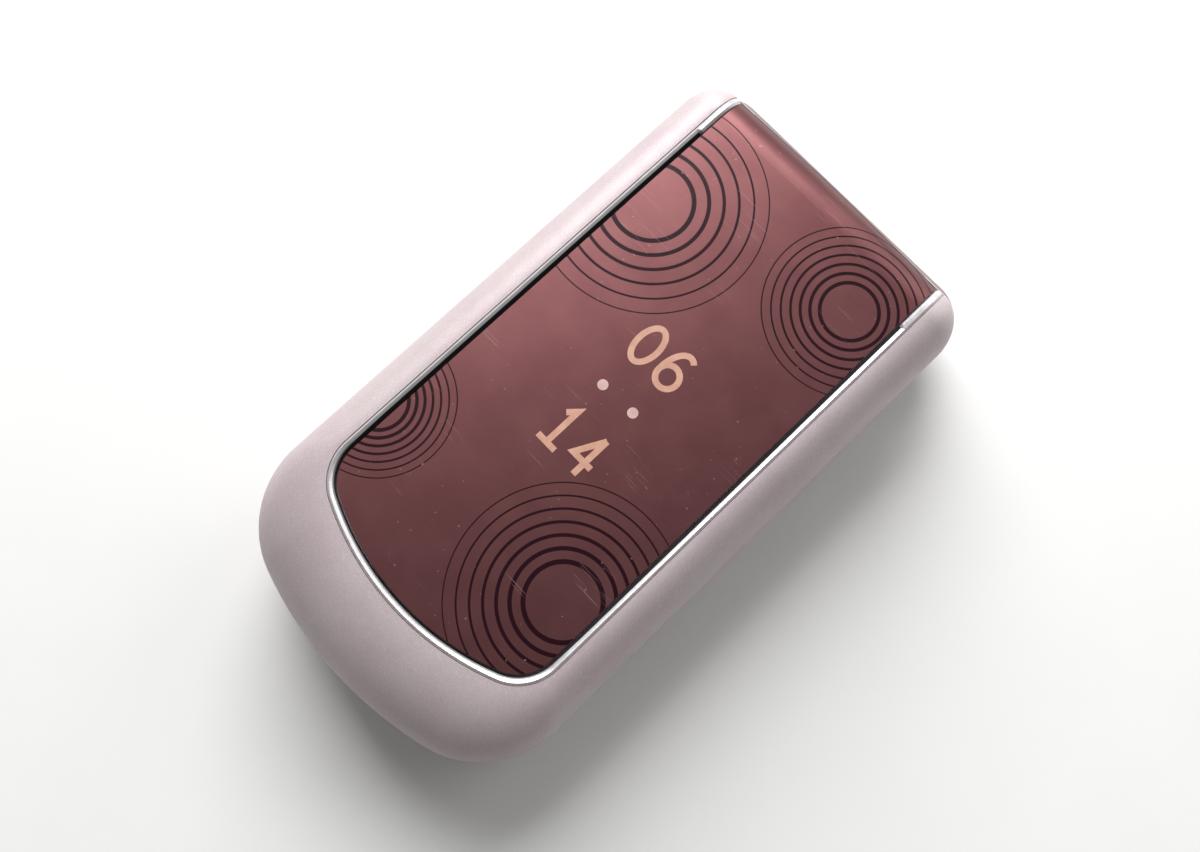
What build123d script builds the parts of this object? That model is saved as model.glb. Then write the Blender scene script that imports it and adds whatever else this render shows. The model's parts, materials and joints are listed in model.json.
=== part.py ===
from build123d import *
import os
from math import cos, radians, sin, sqrt

os.makedirs("parts", exist_ok=True)

# A clamshell phone, closed and lying on its back. Millimetres.
# +X is the phone's right, +Y points to the hinge, +Z points up out of the lid.

# Overall size
LENGTH = 92.0
WIDTH = 48.0
HEIGHT = 20.0
CLEARANCE = 0.3        # between bodies that move past each other
SEAT = 0.05            # between pieces set into one another

# Plan outline, shared by lid and base
CORNER_RADIUS = 13.0   # corners of the free end
BOW_RADIUS = 52.0      # gentle arc of the free end
REAR_CORNER = 6.0      # corners of the base behind the hinge

# Hinge
HINGE_RADIUS = 6.0     # lid's knuckles
REAR_LEDGE = 2.4       # how far the base reaches behind the lid
BARREL_RADIUS = 4.1    # base's barrel between the knuckles
KNUCKLE_LENGTH = 8.8   # from the barrel's end to the lid's side
BARREL_HALF = WIDTH / 2 - KNUCKLE_LENGTH
OPEN_ANGLE = 160.0
WEB_ANGLE = 51.0       # lower face of the barrel's web, below the horizontal
HINGE_Y = LENGTH / 2 - REAR_LEDGE - HINGE_RADIUS
HINGE_Z = HEIGHT - HINGE_RADIUS
KNUCKLE_IN = BARREL_HALF + CLEARANCE

# Lid
LID_HEIGHT = 8.6
LID_WALL = 1.5
LID_ROUND = 6.3        # height of the rounding above the lid's straight side
LID_BOTTOM = HEIGHT - LID_HEIGHT
CHIN = 12.1            # from the window's end to the free end
RAIL_WIDTH = 6.45      # frame on each side of the window
WINDOW_WIDTH = WIDTH - 2 * RAIL_WIDTH
WINDOW_CORNER = 5.5
WINDOW_BOW = 36.0
WINDOW_CROWN = 0.35    # how much the window's middle stands above its sides
WINDOW_THICKNESS = 1.0
WRAP_ANGLE = 50.0      # how far window and trim turn round the hinge
WRAP_MARGIN = 4.0      # their recess turns this much further
TRIM_WIDTH = 1.1
TRIM_GAP = 0.25
TRIM_PROUD = 0.15
TRIM_BEVEL = 0.3
INNER_COVER = 1.0      # thickness of the lid's inner cover
LEDGE = 1.5            # step that the window's edge lies on
FRAME_TOP = HEIGHT - WINDOW_CROWN
WINDOW_EDGE = FRAME_TOP - WINDOW_THICKNESS
WINDOW_END = CHIN - LENGTH / 2
RECESS_GROW = TRIM_GAP + TRIM_WIDTH
LID_CEILING = WINDOW_EDGE - 1.7

# Displays and sound in the lid
LENS_SIDE = 5.0        # from the lens to the lid's sides
LENS_FREE = 14.0       # from the free end to the lens
LENS_HINGE = 18.6      # from the lens to the hinge
LENS_WIDTH = WIDTH - 2 * LENS_SIDE
LENS_LENGTH = HINGE_Y + LENGTH / 2 - LENS_FREE - LENS_HINGE
LENS_Y = LENS_FREE + LENS_LENGTH / 2 - LENGTH / 2
LENS_THICKNESS = 0.8
LENS_CORNER = 2.0
DISPLAY_THICKNESS = 2.0
LID_BOARD_THICKNESS = 0.6
OUTER_DISPLAY_WIDTH = 27.0
OUTER_DISPLAY_LENGTH = 27.0
OUTER_SETBACK = 35.6   # from its middle to the hinge
OUTER_DISPLAY_Y = HINGE_Y - OUTER_SETBACK
EARPIECE_FREE = 8.5    # from the free end to the earpiece's middle
EARPIECE_Y = EARPIECE_FREE - LENGTH / 2
EARPIECE_WIDTH = 11.0
EARPIECE_LENGTH = 5.0
GRILLE_WIDTH = 9.0
GRILLE_LENGTH = 1.8
GRILLE_HOLE = 0.4

# Base
BASE_TOP = LID_BOTTOM - CLEARANCE
BASE_WALL = 1.5
SIDE_TUCK = 5.0        # how far the floor lies in from the sides
FREE_TUCK = 7.0        # and from the free end
REAR_TUCK = 5.0        # and from the rear end
KEYPAD_HEIGHT = 4.5    # of the keypad housing's side
SPLIT_Z = BASE_TOP - KEYPAD_HEIGHT
PLATE = 1.2            # keypad housing's top plate
ROUND_GAP = 0.6        # upright band under the joint between the housings
BASE_ROUND = SPLIT_Z - ROUND_GAP

# Battery cover
FLOOR = 1.2            # of the rear housing
COVER_WALL = 1.1
COVER_SETBACK = 25.6   # from its edge to the hinge
COVER_END = HINGE_Y - COVER_SETBACK
COVER_GAP = 0.15

# Keys
KEY_TRAVEL = 0.25
KEY_STEM = 1.5         # half the width of the foot over the dome
KEY_GAP = 0.25
KEY_FLANGE = 0.4
KEY_FLANGE_HEIGHT = 0.7
KEY_BAR = 1.7          # bar of the housing between two keys
KEYPAD_SIDE = 3.4      # from the keys to the base's sides
KEYPAD_FREE = 11.35    # from the last keys to the free end
KEY_WIDTH = (WIDTH - 2 * KEYPAD_SIDE - 2 * KEY_BAR) / 3
KEY_PITCH_X = KEY_WIDTH + KEY_BAR
KEY_CORNER = 2.6
NAV_SETBACK = 18.4     # from its centre to the hinge
NAV_Y = HINGE_Y - NAV_SETBACK
NAV_WIDTH = 19.0
NAV_LENGTH = 15.0
NAV_INSET = 0.5        # backing plate in from the ring's free and hinge edges
NAV_BAR = 5.65         # housing between the navigation ring and the number keys
KEYPAD_LENGTH = NAV_Y - NAV_LENGTH / 2 - NAV_BAR - KEYPAD_FREE + LENGTH / 2
KEY_LENGTH = (KEYPAD_LENGTH - 3 * KEY_BAR) / 4
KEY_PITCH_Y = KEY_LENGTH + KEY_BAR
KEY_ROW_Y = NAV_Y - NAV_LENGTH / 2 - NAV_BAR - KEY_LENGTH / 2
NAV_CORNER = 5.0
SELECT_WIDTH = 8.0
SELECT_LENGTH = 6.6
SELECT_CORNER = 2.4
SIDE_KEY_BAR = 1.8     # housing between the navigation ring and the keys beside it
SIDE_KEY_EDGE = 3.5    # from these keys to the base's sides
SIDE_KEY_WIDTH = WIDTH / 2 - SIDE_KEY_EDGE - NAV_WIDTH / 2 - SIDE_KEY_BAR
SIDE_KEY_X = WIDTH / 2 - SIDE_KEY_EDGE - SIDE_KEY_WIDTH / 2
SIDE_KEY_LENGTH = 6.9
SIDE_KEY_STEP = 8.6

# Board and what is on it
BOARD_THICKNESS = 0.8
BOARD_GAP = 0.05
DOME_SHEET = 0.15
DOME_HEIGHT = 0.3
DOME_RADIUS = 2.0
DOME_SIDES = 8         # pressed domes stand on clipped corners
BOARD_Z = SPLIT_Z + BOARD_GAP
BOARD_TOP = BOARD_Z + BOARD_THICKNESS
DOME_TOP = BOARD_TOP + DOME_SHEET + DOME_HEIGHT
KEY_FOOT = DOME_TOP + KEY_TRAVEL + SEAT
PLATE_UNDER = BASE_TOP - PLATE
FLANGE_TOP = PLATE_UNDER - KEY_GAP

# Battery
BATTERY_SIDE = 7.5     # from the battery to the base's sides
BATTERY_FREE = 11.2    # from the free end to the battery
BATTERY_INSET = 2.8    # from the battery's end to the cover's edge
BATTERY_ROOM = 1.05    # over the battery, for the cards
BATTERY_GAP = 0.25
BATTERY_WIDTH = WIDTH - 2 * BATTERY_SIDE
BATTERY_LENGTH = COVER_END - BATTERY_INSET - BATTERY_FREE + LENGTH / 2
BATTERY_Y = BATTERY_FREE - LENGTH / 2 + BATTERY_LENGTH / 2
BATTERY_Z = COVER_WALL + COVER_GAP
BATTERY_THICKNESS = SPLIT_Z - BATTERY_ROOM - BATTERY_Z

# Sockets and the volume rocker
JACK_RADIUS = 1.27
JACK_DEPTH = 11.0
JACK_BODY = 3.0
JACK_SETBACK = 28.9    # from the socket to the hinge
SOCKET_RISE = 1.7      # from the joint between the housings to the round sockets
JACK_Y = HINGE_Y - JACK_SETBACK
JACK_Z = SPLIT_Z + SOCKET_RISE
CHARGER_RADIUS = 1.02
CHARGER_DEPTH = 7.0
CHARGER_BODY = 2.9
CHARGER_X = -9.0
USB_WIDTH = 7.5
USB_HEIGHT = 2.2
USB_DEPTH = 5.6
USB_SKIN = 0.3
COVER_SHY = 0.6        # battery cover's sides under the data socket
COVER_TOP = SPLIT_Z - USB_HEIGHT - COVER_SHY
USB_SETBACK = 51.6     # from the socket to the hinge
USB_Y = HINGE_Y - USB_SETBACK
ROCKER_LENGTH = 15.0
ROCKER_HEIGHT = 2.2
ROCKER_DEPTH = 2.4
ROCKER_SETBACK = 22.6  # from the rocker's middle to the hinge
ROCKER_Y = HINGE_Y - ROCKER_SETBACK
ROCKER_Z = SPLIT_Z + SOCKET_RISE

# Camera, flash, loudspeaker and motor on the back
CAMERA_X = -8.0
CAMERA_SETBACK = 11.6  # from the lens to the hinge
CAMERA_Y = HINGE_Y - CAMERA_SETBACK
CAMERA_SIZE = 8.6
CAMERA_WINDOW_RADIUS = 4.2
FLASH_X = 2.5
FLASH_RADIUS = 1.7
FLASH_HEIGHT = 1.75
SPEAKER_SIDE = 11.0    # from the loudspeaker's middle to the base's right side
SPEAKER_X = WIDTH / 2 - SPEAKER_SIDE
SPEAKER_SETBACK = 12.6 # from the loudspeaker's middle to the hinge
SPEAKER_Y = HINGE_Y - SPEAKER_SETBACK
SPEAKER_WIDTH = 9.0
SPEAKER_LENGTH = 13.0
SLOT_COUNT = 4
SLOT_WIDTH = 0.8
SLOT_LENGTH = 8.0
SLOT_PITCH = 1.9
MOTOR_FOOT = 1.0       # its underside over the floor
MOTOR_HEADROOM = 0.4   # under the joint between the housings
MOTOR_LENGTH = 8.0
MOTOR_SIDE = 5.0       # from the motor to the base's left side
MOTOR_Y = HINGE_Y - SPEAKER_SETBACK
MOTOR_RADIUS = (SPLIT_Z - MOTOR_HEADROOM - MOTOR_FOOT - FLOOR) / 2
MOTOR_X = MOTOR_SIDE - WIDTH / 2 + MOTOR_RADIUS
MOTOR_Z = FLOOR + MOTOR_FOOT + MOTOR_RADIUS

# Hinge module and bush inside the barrel
MODULE_RADIUS = 3.0
MODULE_END = 1.0       # x where the module's housing ends
SHAFT_RADIUS = 1.4
RUNNING_FIT = 0.05
PIN_RADIUS = 1.6
PIN_REACH = 6.0        # how far shaft and pin reach into the knuckles
BUSH_LENGTH = 5.0
SPRING_RADIUS = 2.15
SPRING_WIRE = 0.3
SPRING_TURNS = 5
FLEX_WIDTH = 5.0
FLEX_SKIN = 0.2
MODULE_WALL = 0.5
CAM_LENGTH = 2.6

DISPLAY_Z = LID_BOTTOM + INNER_COVER + SEAT
LID_BOARD_Z = DISPLAY_Z + DISPLAY_THICKNESS + SEAT
OUTER_DISPLAY_Z = LID_BOARD_Z + LID_BOARD_THICKNESS + SEAT
BASE_CAVITY_END = HINGE_Y - HINGE_RADIUS - CLEARANCE - BASE_WALL
CAM_X = -BARREL_HALF + SEAT + MODULE_WALL + SEAT
FOLLOWER_X = CAM_X + CAM_LENGTH + 2 * SEAT
SPRING_X = FOLLOWER_X + CAM_LENGTH + SEAT

# The round steps of a lofted rim: angle from the upright side to the level face
RIM_ANGLES = [0, 30, 60, 90]

# Screws through the lid's inner cover
SCREW_SIDE = 4.8
SCREW_SETBACK = 13.6
SCREW_FREE = 12.0
SCREW_X = WIDTH / 2 - SCREW_SIDE
SCREW_Y = HINGE_Y - SCREW_SETBACK
SCREW_FREE_Y = SCREW_FREE - LENGTH / 2
SCREW_RADIUS = 0.8
SCREW_HEAD = 1.5
SCREW_BOSS = 2.2
SCREW_LENGTH = 3.4
CAP_RADIUS = 1.9
CAP_DEPTH = 0.5
SCREW_PLACES = [
    (SCREW_X, SCREW_Y),
    (-SCREW_X, SCREW_Y),
    (SCREW_X, SCREW_FREE_Y),
    (-SCREW_X, SCREW_FREE_Y),
]

# Rubber bumpers that keep lid and keypad apart
BUMPER_RADIUS = 1.2
BUMPER_SEAT = 0.5
BUMPER_SIDE = 7.0
BUMPER_FREE = 6.5
BUMPER_SETBACK = 9.2
BUMPER_X = WIDTH / 2 - BUMPER_SIDE
BUMPER_Y = BUMPER_FREE - LENGTH / 2
BUMPER_HINGE_Y = HINGE_Y - BUMPER_SETBACK
BUMPER_PLACES = [
    (BUMPER_X, BUMPER_Y),
    (-BUMPER_X, BUMPER_Y),
    (BUMPER_X, BUMPER_HINGE_Y),
    (-BUMPER_X, BUMPER_HINGE_Y),
]

# Screws between the halves of the base
BASE_SCREW_SIDE = 4.2
BASE_SCREW_SETBACK = 34.0
BASE_SCREW_FREE = 18.0
BASE_SCREW_DROP = 2.0  # head's seat under the joint between the housings
BASE_SCREW_REACH = 1.6 # tip above that joint
BASE_SCREW_X = WIDTH / 2 - BASE_SCREW_SIDE
BASE_SCREW_Y = HINGE_Y - BASE_SCREW_SETBACK
BASE_SCREW_FREE_Y = BASE_SCREW_FREE - LENGTH / 2
BASE_SCREW_RADIUS = 0.7
BASE_SCREW_HEAD = 1.3
BASE_SCREW_CAP = 0.8
BASE_SCREW_SEAT = SPLIT_Z - BASE_SCREW_DROP
BASE_SCREW_TIP = SPLIT_Z + BASE_SCREW_REACH
BASE_BOSS = 1.6
BASE_RIB = 0.6
BASE_SCREW_PLACES = [
    (BASE_SCREW_X, BASE_SCREW_Y),
    (-BASE_SCREW_X, BASE_SCREW_Y),
    (BASE_SCREW_X, BASE_SCREW_FREE_Y),
    (-BASE_SCREW_X, BASE_SCREW_FREE_Y),
]

# Rear housing's room behind the battery, and what lies in it
ROOM_SIDE = 4.0
ROOM_REAR = 5.6
ROOM_WIDTH = WIDTH - 2 * ROOM_SIDE
ROOM_END = LENGTH / 2 - ROOM_REAR
GLASS_INSET = 0.2
CAMERA_RISE = 1.4      # camera module over the floor, for its lens barrel
CAMERA_LOW = FLOOR + CAMERA_RISE
ANTENNA_WIDTH = 30.0
ANTENNA_LENGTH = 6.0
MOTOR_SHAFT = 0.4
WEIGHT_LENGTH = 3.0
CAN_HEIGHT = 1.6
CAN_SKIN = 0.2
CAN_SETBACK = 23.6
CAN_Y = HINGE_Y - CAN_SETBACK
CAN_LENGTH = 6.4
CAN_LEFT = 10.0
CAN_RIGHT = 6.0
CAN_PARTING = 0.5
CAN_SPANS = [(CAN_LEFT - WIDTH / 2, -CAN_PARTING), (CAN_PARTING, WIDTH / 2 - CAN_RIGHT)]
FREE_SET = 1.0         # charger socket's mouth in from the free end's tip

# Battery bay
BATTERY_ROUND = 0.8
CONTACT_LENGTH = 2.4
CONTACT_WIDTH = 12.0
CONTACT_COUNT = 3
CONTACT_GROOVE = 0.6
CONTACT_DEPTH = 0.3

# Cards over the battery: width, length, and for a bay its centre too
CARD_STACK = 0.8
SIM_CARD = (25.0, 15.0)
CARD_EDGE = 1.0        # holder's frame round a card
SIM_X = -2.0
SIM_SETBACK = 16.0     # from the card's middle to the cover's edge
SIM_BAY = (SIM_CARD[0] + 2 * CARD_EDGE, SIM_CARD[1] + 2 * CARD_EDGE, SIM_X, COVER_END - SIM_SETBACK)
SIM_CORNER = 3.0
MEMORY_CARD = (15.0, 11.0)
MEMORY_X = -6.0
MEMORY_SETBACK = 36.0
MEMORY_BAY = (
    MEMORY_CARD[0] + 2 * CARD_EDGE,
    MEMORY_CARD[1] + 2 * CARD_EDGE,
    MEMORY_X,
    COVER_END - MEMORY_SETBACK,
)

# Microphone and the keys' bevelled rims
MIC_X = 6.0
MIC_FREE = 6.0
MIC_Y = MIC_FREE - LENGTH / 2
MIC_RADIUS = 2.0
MIC_HOLE = 0.5
KEY_BEVEL = 0.25


def block(x0, x1, y0, y1, z0, z1):
    """A box from its lowest and highest corners."""
    return Pos((x0 + x1) / 2, (y0 + y1) / 2, (z0 + z1) / 2) * Box(x1 - x0, y1 - y0, z1 - z0)


def slab(width, length, corner, x, y, z0, z1):
    """An upright plate with rounded corners, centred on x, y."""
    return Pos(x, y, z0) * extrude(RectangleRounded(width, length, corner), z1 - z0)


def post(radius, x, y, z0, z1):
    return Pos(x, y, (z0 + z1) / 2) * Cylinder(radius, z1 - z0)


def rod_x(radius, x0, x1, y, z):
    """A rod along X."""
    return Pos((x0 + x1) / 2, y, z) * Rot(0, 90, 0) * Cylinder(radius, x1 - x0)


def free_end_face(half_width, y_free, y_hinge, bow, corner):
    """Plan face with straight sides, a bowed free end and a straight hinge end."""
    middle = y_free + bow
    body = Pos(0, (y_free + y_hinge) / 2) * Rectangle(2 * half_width, y_hinge - y_free)
    reach = max(y_hinge - middle, 0) + bow
    arc = Pos(0, middle) * Circle(bow)
    arc = arc + Pos(0, middle + reach / 2) * Rectangle(2 * bow, reach)
    face = body & arc
    return fillet(face.vertices().sort_by(Axis.Y)[:2], corner)


def lid_envelope():
    """Outer form of the lid, from its seam up to the frame round the window."""
    side = WIDTH / 2 - WINDOW_WIDTH / 2 - RECESS_GROW
    free = CHIN - RECESS_GROW
    spring_z = FRAME_TOP - LID_ROUND
    faces = []
    for angle in RIM_ANGLES:
        step = 1 - cos(radians(angle))
        z = spring_z + LID_ROUND * sin(radians(angle))
        outline = free_end_face(
            WIDTH / 2 - side * step,
            -LENGTH / 2 + free * step,
            HINGE_Y,
            BOW_RADIUS - free * step,
            CORNER_RADIUS - side * step,
        )
        faces.append(Pos(0, 0, z) * outline)
    skirt_face = free_end_face(WIDTH / 2, -LENGTH / 2, HINGE_Y, BOW_RADIUS, CORNER_RADIUS)
    skirt = Pos(0, 0, LID_BOTTOM) * extrude(skirt_face, spring_z - LID_BOTTOM)
    return skirt + loft(faces)


def hinge_turn(profile, angle):
    """Turn a face that stands in the hinge's upright plane round the hinge, rearwards."""
    axis = Axis((0, HINGE_Y, HINGE_Z), (-1, 0, 0))
    return revolve(profile, axis, angle)


def knuckle(envelope):
    """Right-hand knuckle: the rail's end face turned full circle about the hinge."""
    end_face = envelope.faces().sort_by(Axis.Y)[-1]
    rail = end_face & block(KNUCKLE_IN, WIDTH, 0, LENGTH, HINGE_Z, HEIGHT)
    return hinge_turn(rail, 360)


def crown_profile(half_width, bottom, top):
    """Section across the lid: two level arcs of the window's crown, bottom to top."""
    half = WINDOW_WIDTH / 2
    radius = (half ** 2 + WINDOW_CROWN ** 2) / (2 * WINDOW_CROWN)
    drop = radius - sqrt(radius ** 2 - half_width ** 2)
    with BuildSketch(Plane.XZ.offset(-HINGE_Y)) as section:
        with BuildLine():
            ThreePointArc((-half_width, top - drop), (0, top), (half_width, top - drop))
            Line((half_width, top - drop), (half_width, bottom - drop))
            ThreePointArc((half_width, bottom - drop), (0, bottom), (-half_width, bottom - drop))
            Line((-half_width, bottom - drop), (-half_width, top - drop))
        make_face()
    return section.sketch


def window_face(grow):
    """Plan of the window, grown on its sides and its free end."""
    return free_end_face(
        WINDOW_WIDTH / 2 + grow,
        WINDOW_END - grow,
        HINGE_Y,
        WINDOW_BOW + grow,
        WINDOW_CORNER + grow,
    )


def crowned_plate(grow, bottom, top, wrap):
    """The window's plan with crowned faces, carried on round the hinge."""
    profile = crown_profile(WINDOW_WIDTH / 2 + grow, bottom, top)
    plate = extrude(profile, LENGTH, dir=(0, -1, 0))
    column = Pos(0, 0, LID_BOTTOM) * extrude(window_face(grow), LID_HEIGHT + CLEARANCE)
    plate = plate & column
    if wrap:
        plate = plate + hinge_turn(profile, wrap)
    return plate


def lid_outer_shell():
    envelope = lid_envelope()
    right = knuckle(envelope)
    shell = envelope + right + mirror(right, Plane.YZ)
    under = HEIGHT - WINDOW_THICKNESS
    recess = crowned_plate(RECESS_GROW, under - SEAT, HEIGHT + LID_HEIGHT / 2, 0)
    turned = crown_profile(WINDOW_WIDTH / 2 + RECESS_GROW, under - SEAT, HEIGHT + CLEARANCE)
    recess = recess + hinge_turn(turned, WRAP_ANGLE + WRAP_MARGIN)
    shell = shell - recess
    cavity_end = HINGE_Y - HINGE_RADIUS - LID_WALL
    inner = free_end_face(
        WIDTH / 2 - LID_WALL,
        LID_WALL - LENGTH / 2,
        cavity_end,
        BOW_RADIUS - LID_WALL,
        CORNER_RADIUS - LID_WALL,
    )
    lip = Pos(0, 0, LID_BOTTOM - CLEARANCE) * extrude(inner, INNER_COVER + CLEARANCE + SEAT)
    deep = free_end_face(
        WIDTH / 2 - 2 * LID_WALL,
        3 * LID_WALL - LENGTH / 2,
        cavity_end,
        BOW_RADIUS - 3 * LID_WALL,
        CORNER_RADIUS - 2 * LID_WALL,
    )
    deep_top = LID_CEILING - LID_WALL
    deep = Pos(0, 0, LID_BOTTOM) * extrude(deep, deep_top - LID_BOTTOM)
    aperture = Pos(0, 0, LID_BOTTOM) * extrude(window_face(-LEDGE), LID_HEIGHT)
    channel = block(
        -KNUCKLE_IN,
        KNUCKLE_IN,
        cavity_end - LID_WALL,
        LENGTH,
        LID_BOTTOM - LID_HEIGHT,
        HEIGHT + LID_HEIGHT,
    )
    shell = shell - lip - deep - aperture - channel
    shaft_hole = rod_x(SHAFT_RADIUS + SEAT, -KNUCKLE_IN - PIN_REACH, -KNUCKLE_IN, HINGE_Y, HINGE_Z)
    pin_hole = rod_x(PIN_RADIUS + SEAT, KNUCKLE_IN, KNUCKLE_IN + PIN_REACH, HINGE_Y, HINGE_Z)
    shell = shell - shaft_hole - pin_hole
    for x, y in SCREW_PLACES:
        shell = shell + post(SCREW_BOSS, x, y, LID_BOTTOM + INNER_COVER + SEAT, deep_top)
        shell = shell - post(SCREW_RADIUS, x, y, LID_BOTTOM, LID_BOTTOM + SCREW_LENGTH + SEAT)
    return shell


def lid_window():
    under = HEIGHT - WINDOW_THICKNESS
    return crowned_plate(0, under, HEIGHT, WRAP_ANGLE)


def window_trim():
    """Bright strip round the window's sides and free end, carried on over the hinge."""
    ring = window_face(RECESS_GROW - SEAT) - window_face(TRIM_GAP)
    base = WINDOW_EDGE
    top = FRAME_TOP + TRIM_PROUD
    trim = Pos(0, 0, base) * extrude(ring, top - base)
    half = WINDOW_WIDTH / 2
    outer = half + RECESS_GROW - SEAT
    strip = Plane.XZ.offset(-HINGE_Y) * Pos((half + TRIM_GAP + outer) / 2, (base + top) / 2)
    strip = strip * Rectangle(outer - half - TRIM_GAP, top - base)
    turned = hinge_turn(strip, WRAP_ANGLE)
    trim = trim + turned + mirror(turned, Plane.YZ)
    under = HEIGHT - WINDOW_THICKNESS
    trim = trim - extrude(crown_profile(outer, LID_BOTTOM, under), LENGTH, dir=(0, -1, 0))
    upper = trim.edges().group_by(Axis.Z)[-1]
    long_edges = [edge for edge in upper if edge.length > TRIM_WIDTH]
    return chamfer(long_edges, TRIM_BEVEL)


def lid_inner_cover():
    """Plate over the lid's inside, with a hollow wall that follows the barrel."""
    end = HINGE_Y - HINGE_RADIUS - LID_WALL
    face = free_end_face(
        WIDTH / 2 - LID_WALL - SEAT,
        LID_WALL + SEAT - LENGTH / 2,
        end - SEAT,
        BOW_RADIUS - LID_WALL,
        CORNER_RADIUS - LID_WALL,
    )
    cover = Pos(0, 0, LID_BOTTOM) * extrude(face, INNER_COVER)
    inner = BARREL_RADIUS + CLEARANCE
    drop = HINGE_Z - LID_BOTTOM
    reach = sqrt(inner ** 2 - drop ** 2)
    cover = cover + block(
        -BARREL_HALF,
        BARREL_HALF,
        end - LID_WALL,
        HINGE_Y - reach,
        LID_BOTTOM,
        LID_BOTTOM + INNER_COVER,
    )
    wall = rod_x(inner + INNER_COVER / 2, -BARREL_HALF, BARREL_HALF, HINGE_Y, HINGE_Z)
    wall_top = HINGE_Z + BARREL_RADIUS - CLEARANCE / 2
    wall = wall & block(-WIDTH, WIDTH, 0, HINGE_Y - reach / 2, LID_BOTTOM, wall_top)
    cover = cover + wall
    cover = cover - rod_x(inner, -WIDTH, WIDTH, HINGE_Y, HINGE_Z)
    cover = cover - slab(
        LENS_WIDTH + 2 * SEAT,
        LENS_LENGTH + 2 * SEAT,
        LENS_CORNER,
        0,
        LENS_Y,
        LID_BOTTOM - SEAT,
        LID_BOTTOM + LENS_THICKNESS,
    )
    cover = cover - slab(
        LENS_WIDTH - 2 * LEDGE,
        LENS_LENGTH - 2 * LEDGE,
        LENS_CORNER,
        0,
        LENS_Y,
        LID_BOTTOM,
        LID_BOTTOM + 2 * INNER_COVER,
    )
    cover = cover - slab(
        GRILLE_WIDTH + 2 * SEAT,
        GRILLE_LENGTH + 2 * SEAT,
        GRILLE_LENGTH / 2,
        0,
        EARPIECE_Y,
        LID_BOTTOM - SEAT,
        LID_BOTTOM + 2 * INNER_COVER,
    )
    for x, y in SCREW_PLACES:
        cover = cover - post(SCREW_HEAD + SEAT, x, y, LID_BOTTOM - SEAT, LID_BOTTOM + CAP_DEPTH + SEAT)
        cover = cover - post(CAP_RADIUS + SEAT, x, y, LID_BOTTOM - SEAT, LID_BOTTOM + CAP_DEPTH)
        cover = cover - post(SCREW_RADIUS + SEAT, x, y, LID_BOTTOM, LID_BOTTOM + 2 * INNER_COVER)
    for x, y in BUMPER_PLACES:
        cover = cover - post(BUMPER_RADIUS + SEAT, x, y, LID_BOTTOM - SEAT, LID_BOTTOM + BUMPER_SEAT)
    return cover


def main_display_lens():
    return slab(
        LENS_WIDTH, LENS_LENGTH, LENS_CORNER, 0, LENS_Y, LID_BOTTOM, LID_BOTTOM + LENS_THICKNESS
    )


def main_display():
    """Display module: glass with a metal frame behind it."""
    glass = slab(
        LENS_WIDTH - LEDGE,
        LENS_LENGTH - LEDGE,
        LENS_CORNER / 2,
        0,
        LENS_Y,
        DISPLAY_Z,
        DISPLAY_Z + DISPLAY_THICKNESS,
    )
    tail = block(
        -FLEX_WIDTH,
        FLEX_WIDTH,
        LENS_Y + LENS_LENGTH / 2 - LEDGE,
        LENS_Y + LENS_LENGTH / 2 + LEDGE,
        DISPLAY_Z + DISPLAY_THICKNESS - LEDGE / 2,
        DISPLAY_Z + DISPLAY_THICKNESS,
    )
    return glass + tail


def lid_circuit_board():
    board = slab(
        LENS_WIDTH + LEDGE,
        LENS_LENGTH + 3 * LEDGE,
        LENS_CORNER,
        0,
        LENS_Y,
        LID_BOARD_Z,
        LID_BOARD_Z + LID_BOARD_THICKNESS,
    )
    for x, y in SCREW_PLACES:
        board = board - post(SCREW_BOSS + CLEARANCE, x, y, LID_BOARD_Z - SEAT, HEIGHT)
    return board


def outer_display():
    """Small display right under the window."""
    top = HEIGHT - WINDOW_THICKNESS - WINDOW_CROWN - SEAT
    return slab(
        OUTER_DISPLAY_WIDTH,
        OUTER_DISPLAY_LENGTH,
        LENS_CORNER / 2,
        0,
        OUTER_DISPLAY_Y,
        OUTER_DISPLAY_Z,
        top,
    )


def earpiece_speaker():
    return slab(
        EARPIECE_WIDTH,
        EARPIECE_LENGTH,
        EARPIECE_LENGTH / 2 - SEAT,
        0,
        EARPIECE_Y,
        LID_BOTTOM + INNER_COVER + SEAT,
        LID_BOTTOM + 3 * INNER_COVER,
    )


def earpiece_grille():
    """Perforated strip in the inner cover."""
    z0 = LID_BOTTOM
    z1 = LID_BOTTOM + INNER_COVER
    grille = slab(GRILLE_WIDTH, GRILLE_LENGTH, GRILLE_LENGTH / 2 - SEAT, 0, EARPIECE_Y, z0, z1)
    holes = GridLocations(3 * GRILLE_HOLE, 2 * GRILLE_HOLE, 6, 2)
    for spot in holes.locations:
        grille = grille - Pos(0, EARPIECE_Y, (z0 + z1) / 2) * spot * Box(
            2 * GRILLE_HOLE, GRILLE_HOLE, 2 * INNER_COVER
        )
    return grille


def lid_bumpers():
    low = BASE_TOP + SEAT
    pads = [post(BUMPER_RADIUS, x, y, low, LID_BOTTOM + BUMPER_SEAT) for x, y in BUMPER_PLACES]
    return Compound(pads)


def lid_screws():
    """Screws that hold the inner cover, heads under their caps."""
    screws = []
    for x, y in SCREW_PLACES:
        head_z = LID_BOTTOM + CAP_DEPTH + SEAT
        head = post(SCREW_HEAD, x, y, LID_BOTTOM + SEAT, head_z)
        drive = post(SCREW_RADIUS / 2, x, y, LID_BOTTOM + SEAT, LID_BOTTOM + CAP_DEPTH)
        shank = post(SCREW_RADIUS - SEAT, x, y, head_z - SEAT, LID_BOTTOM + SCREW_LENGTH)
        screws.append(head - drive + shank)
    return Compound(screws)


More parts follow.
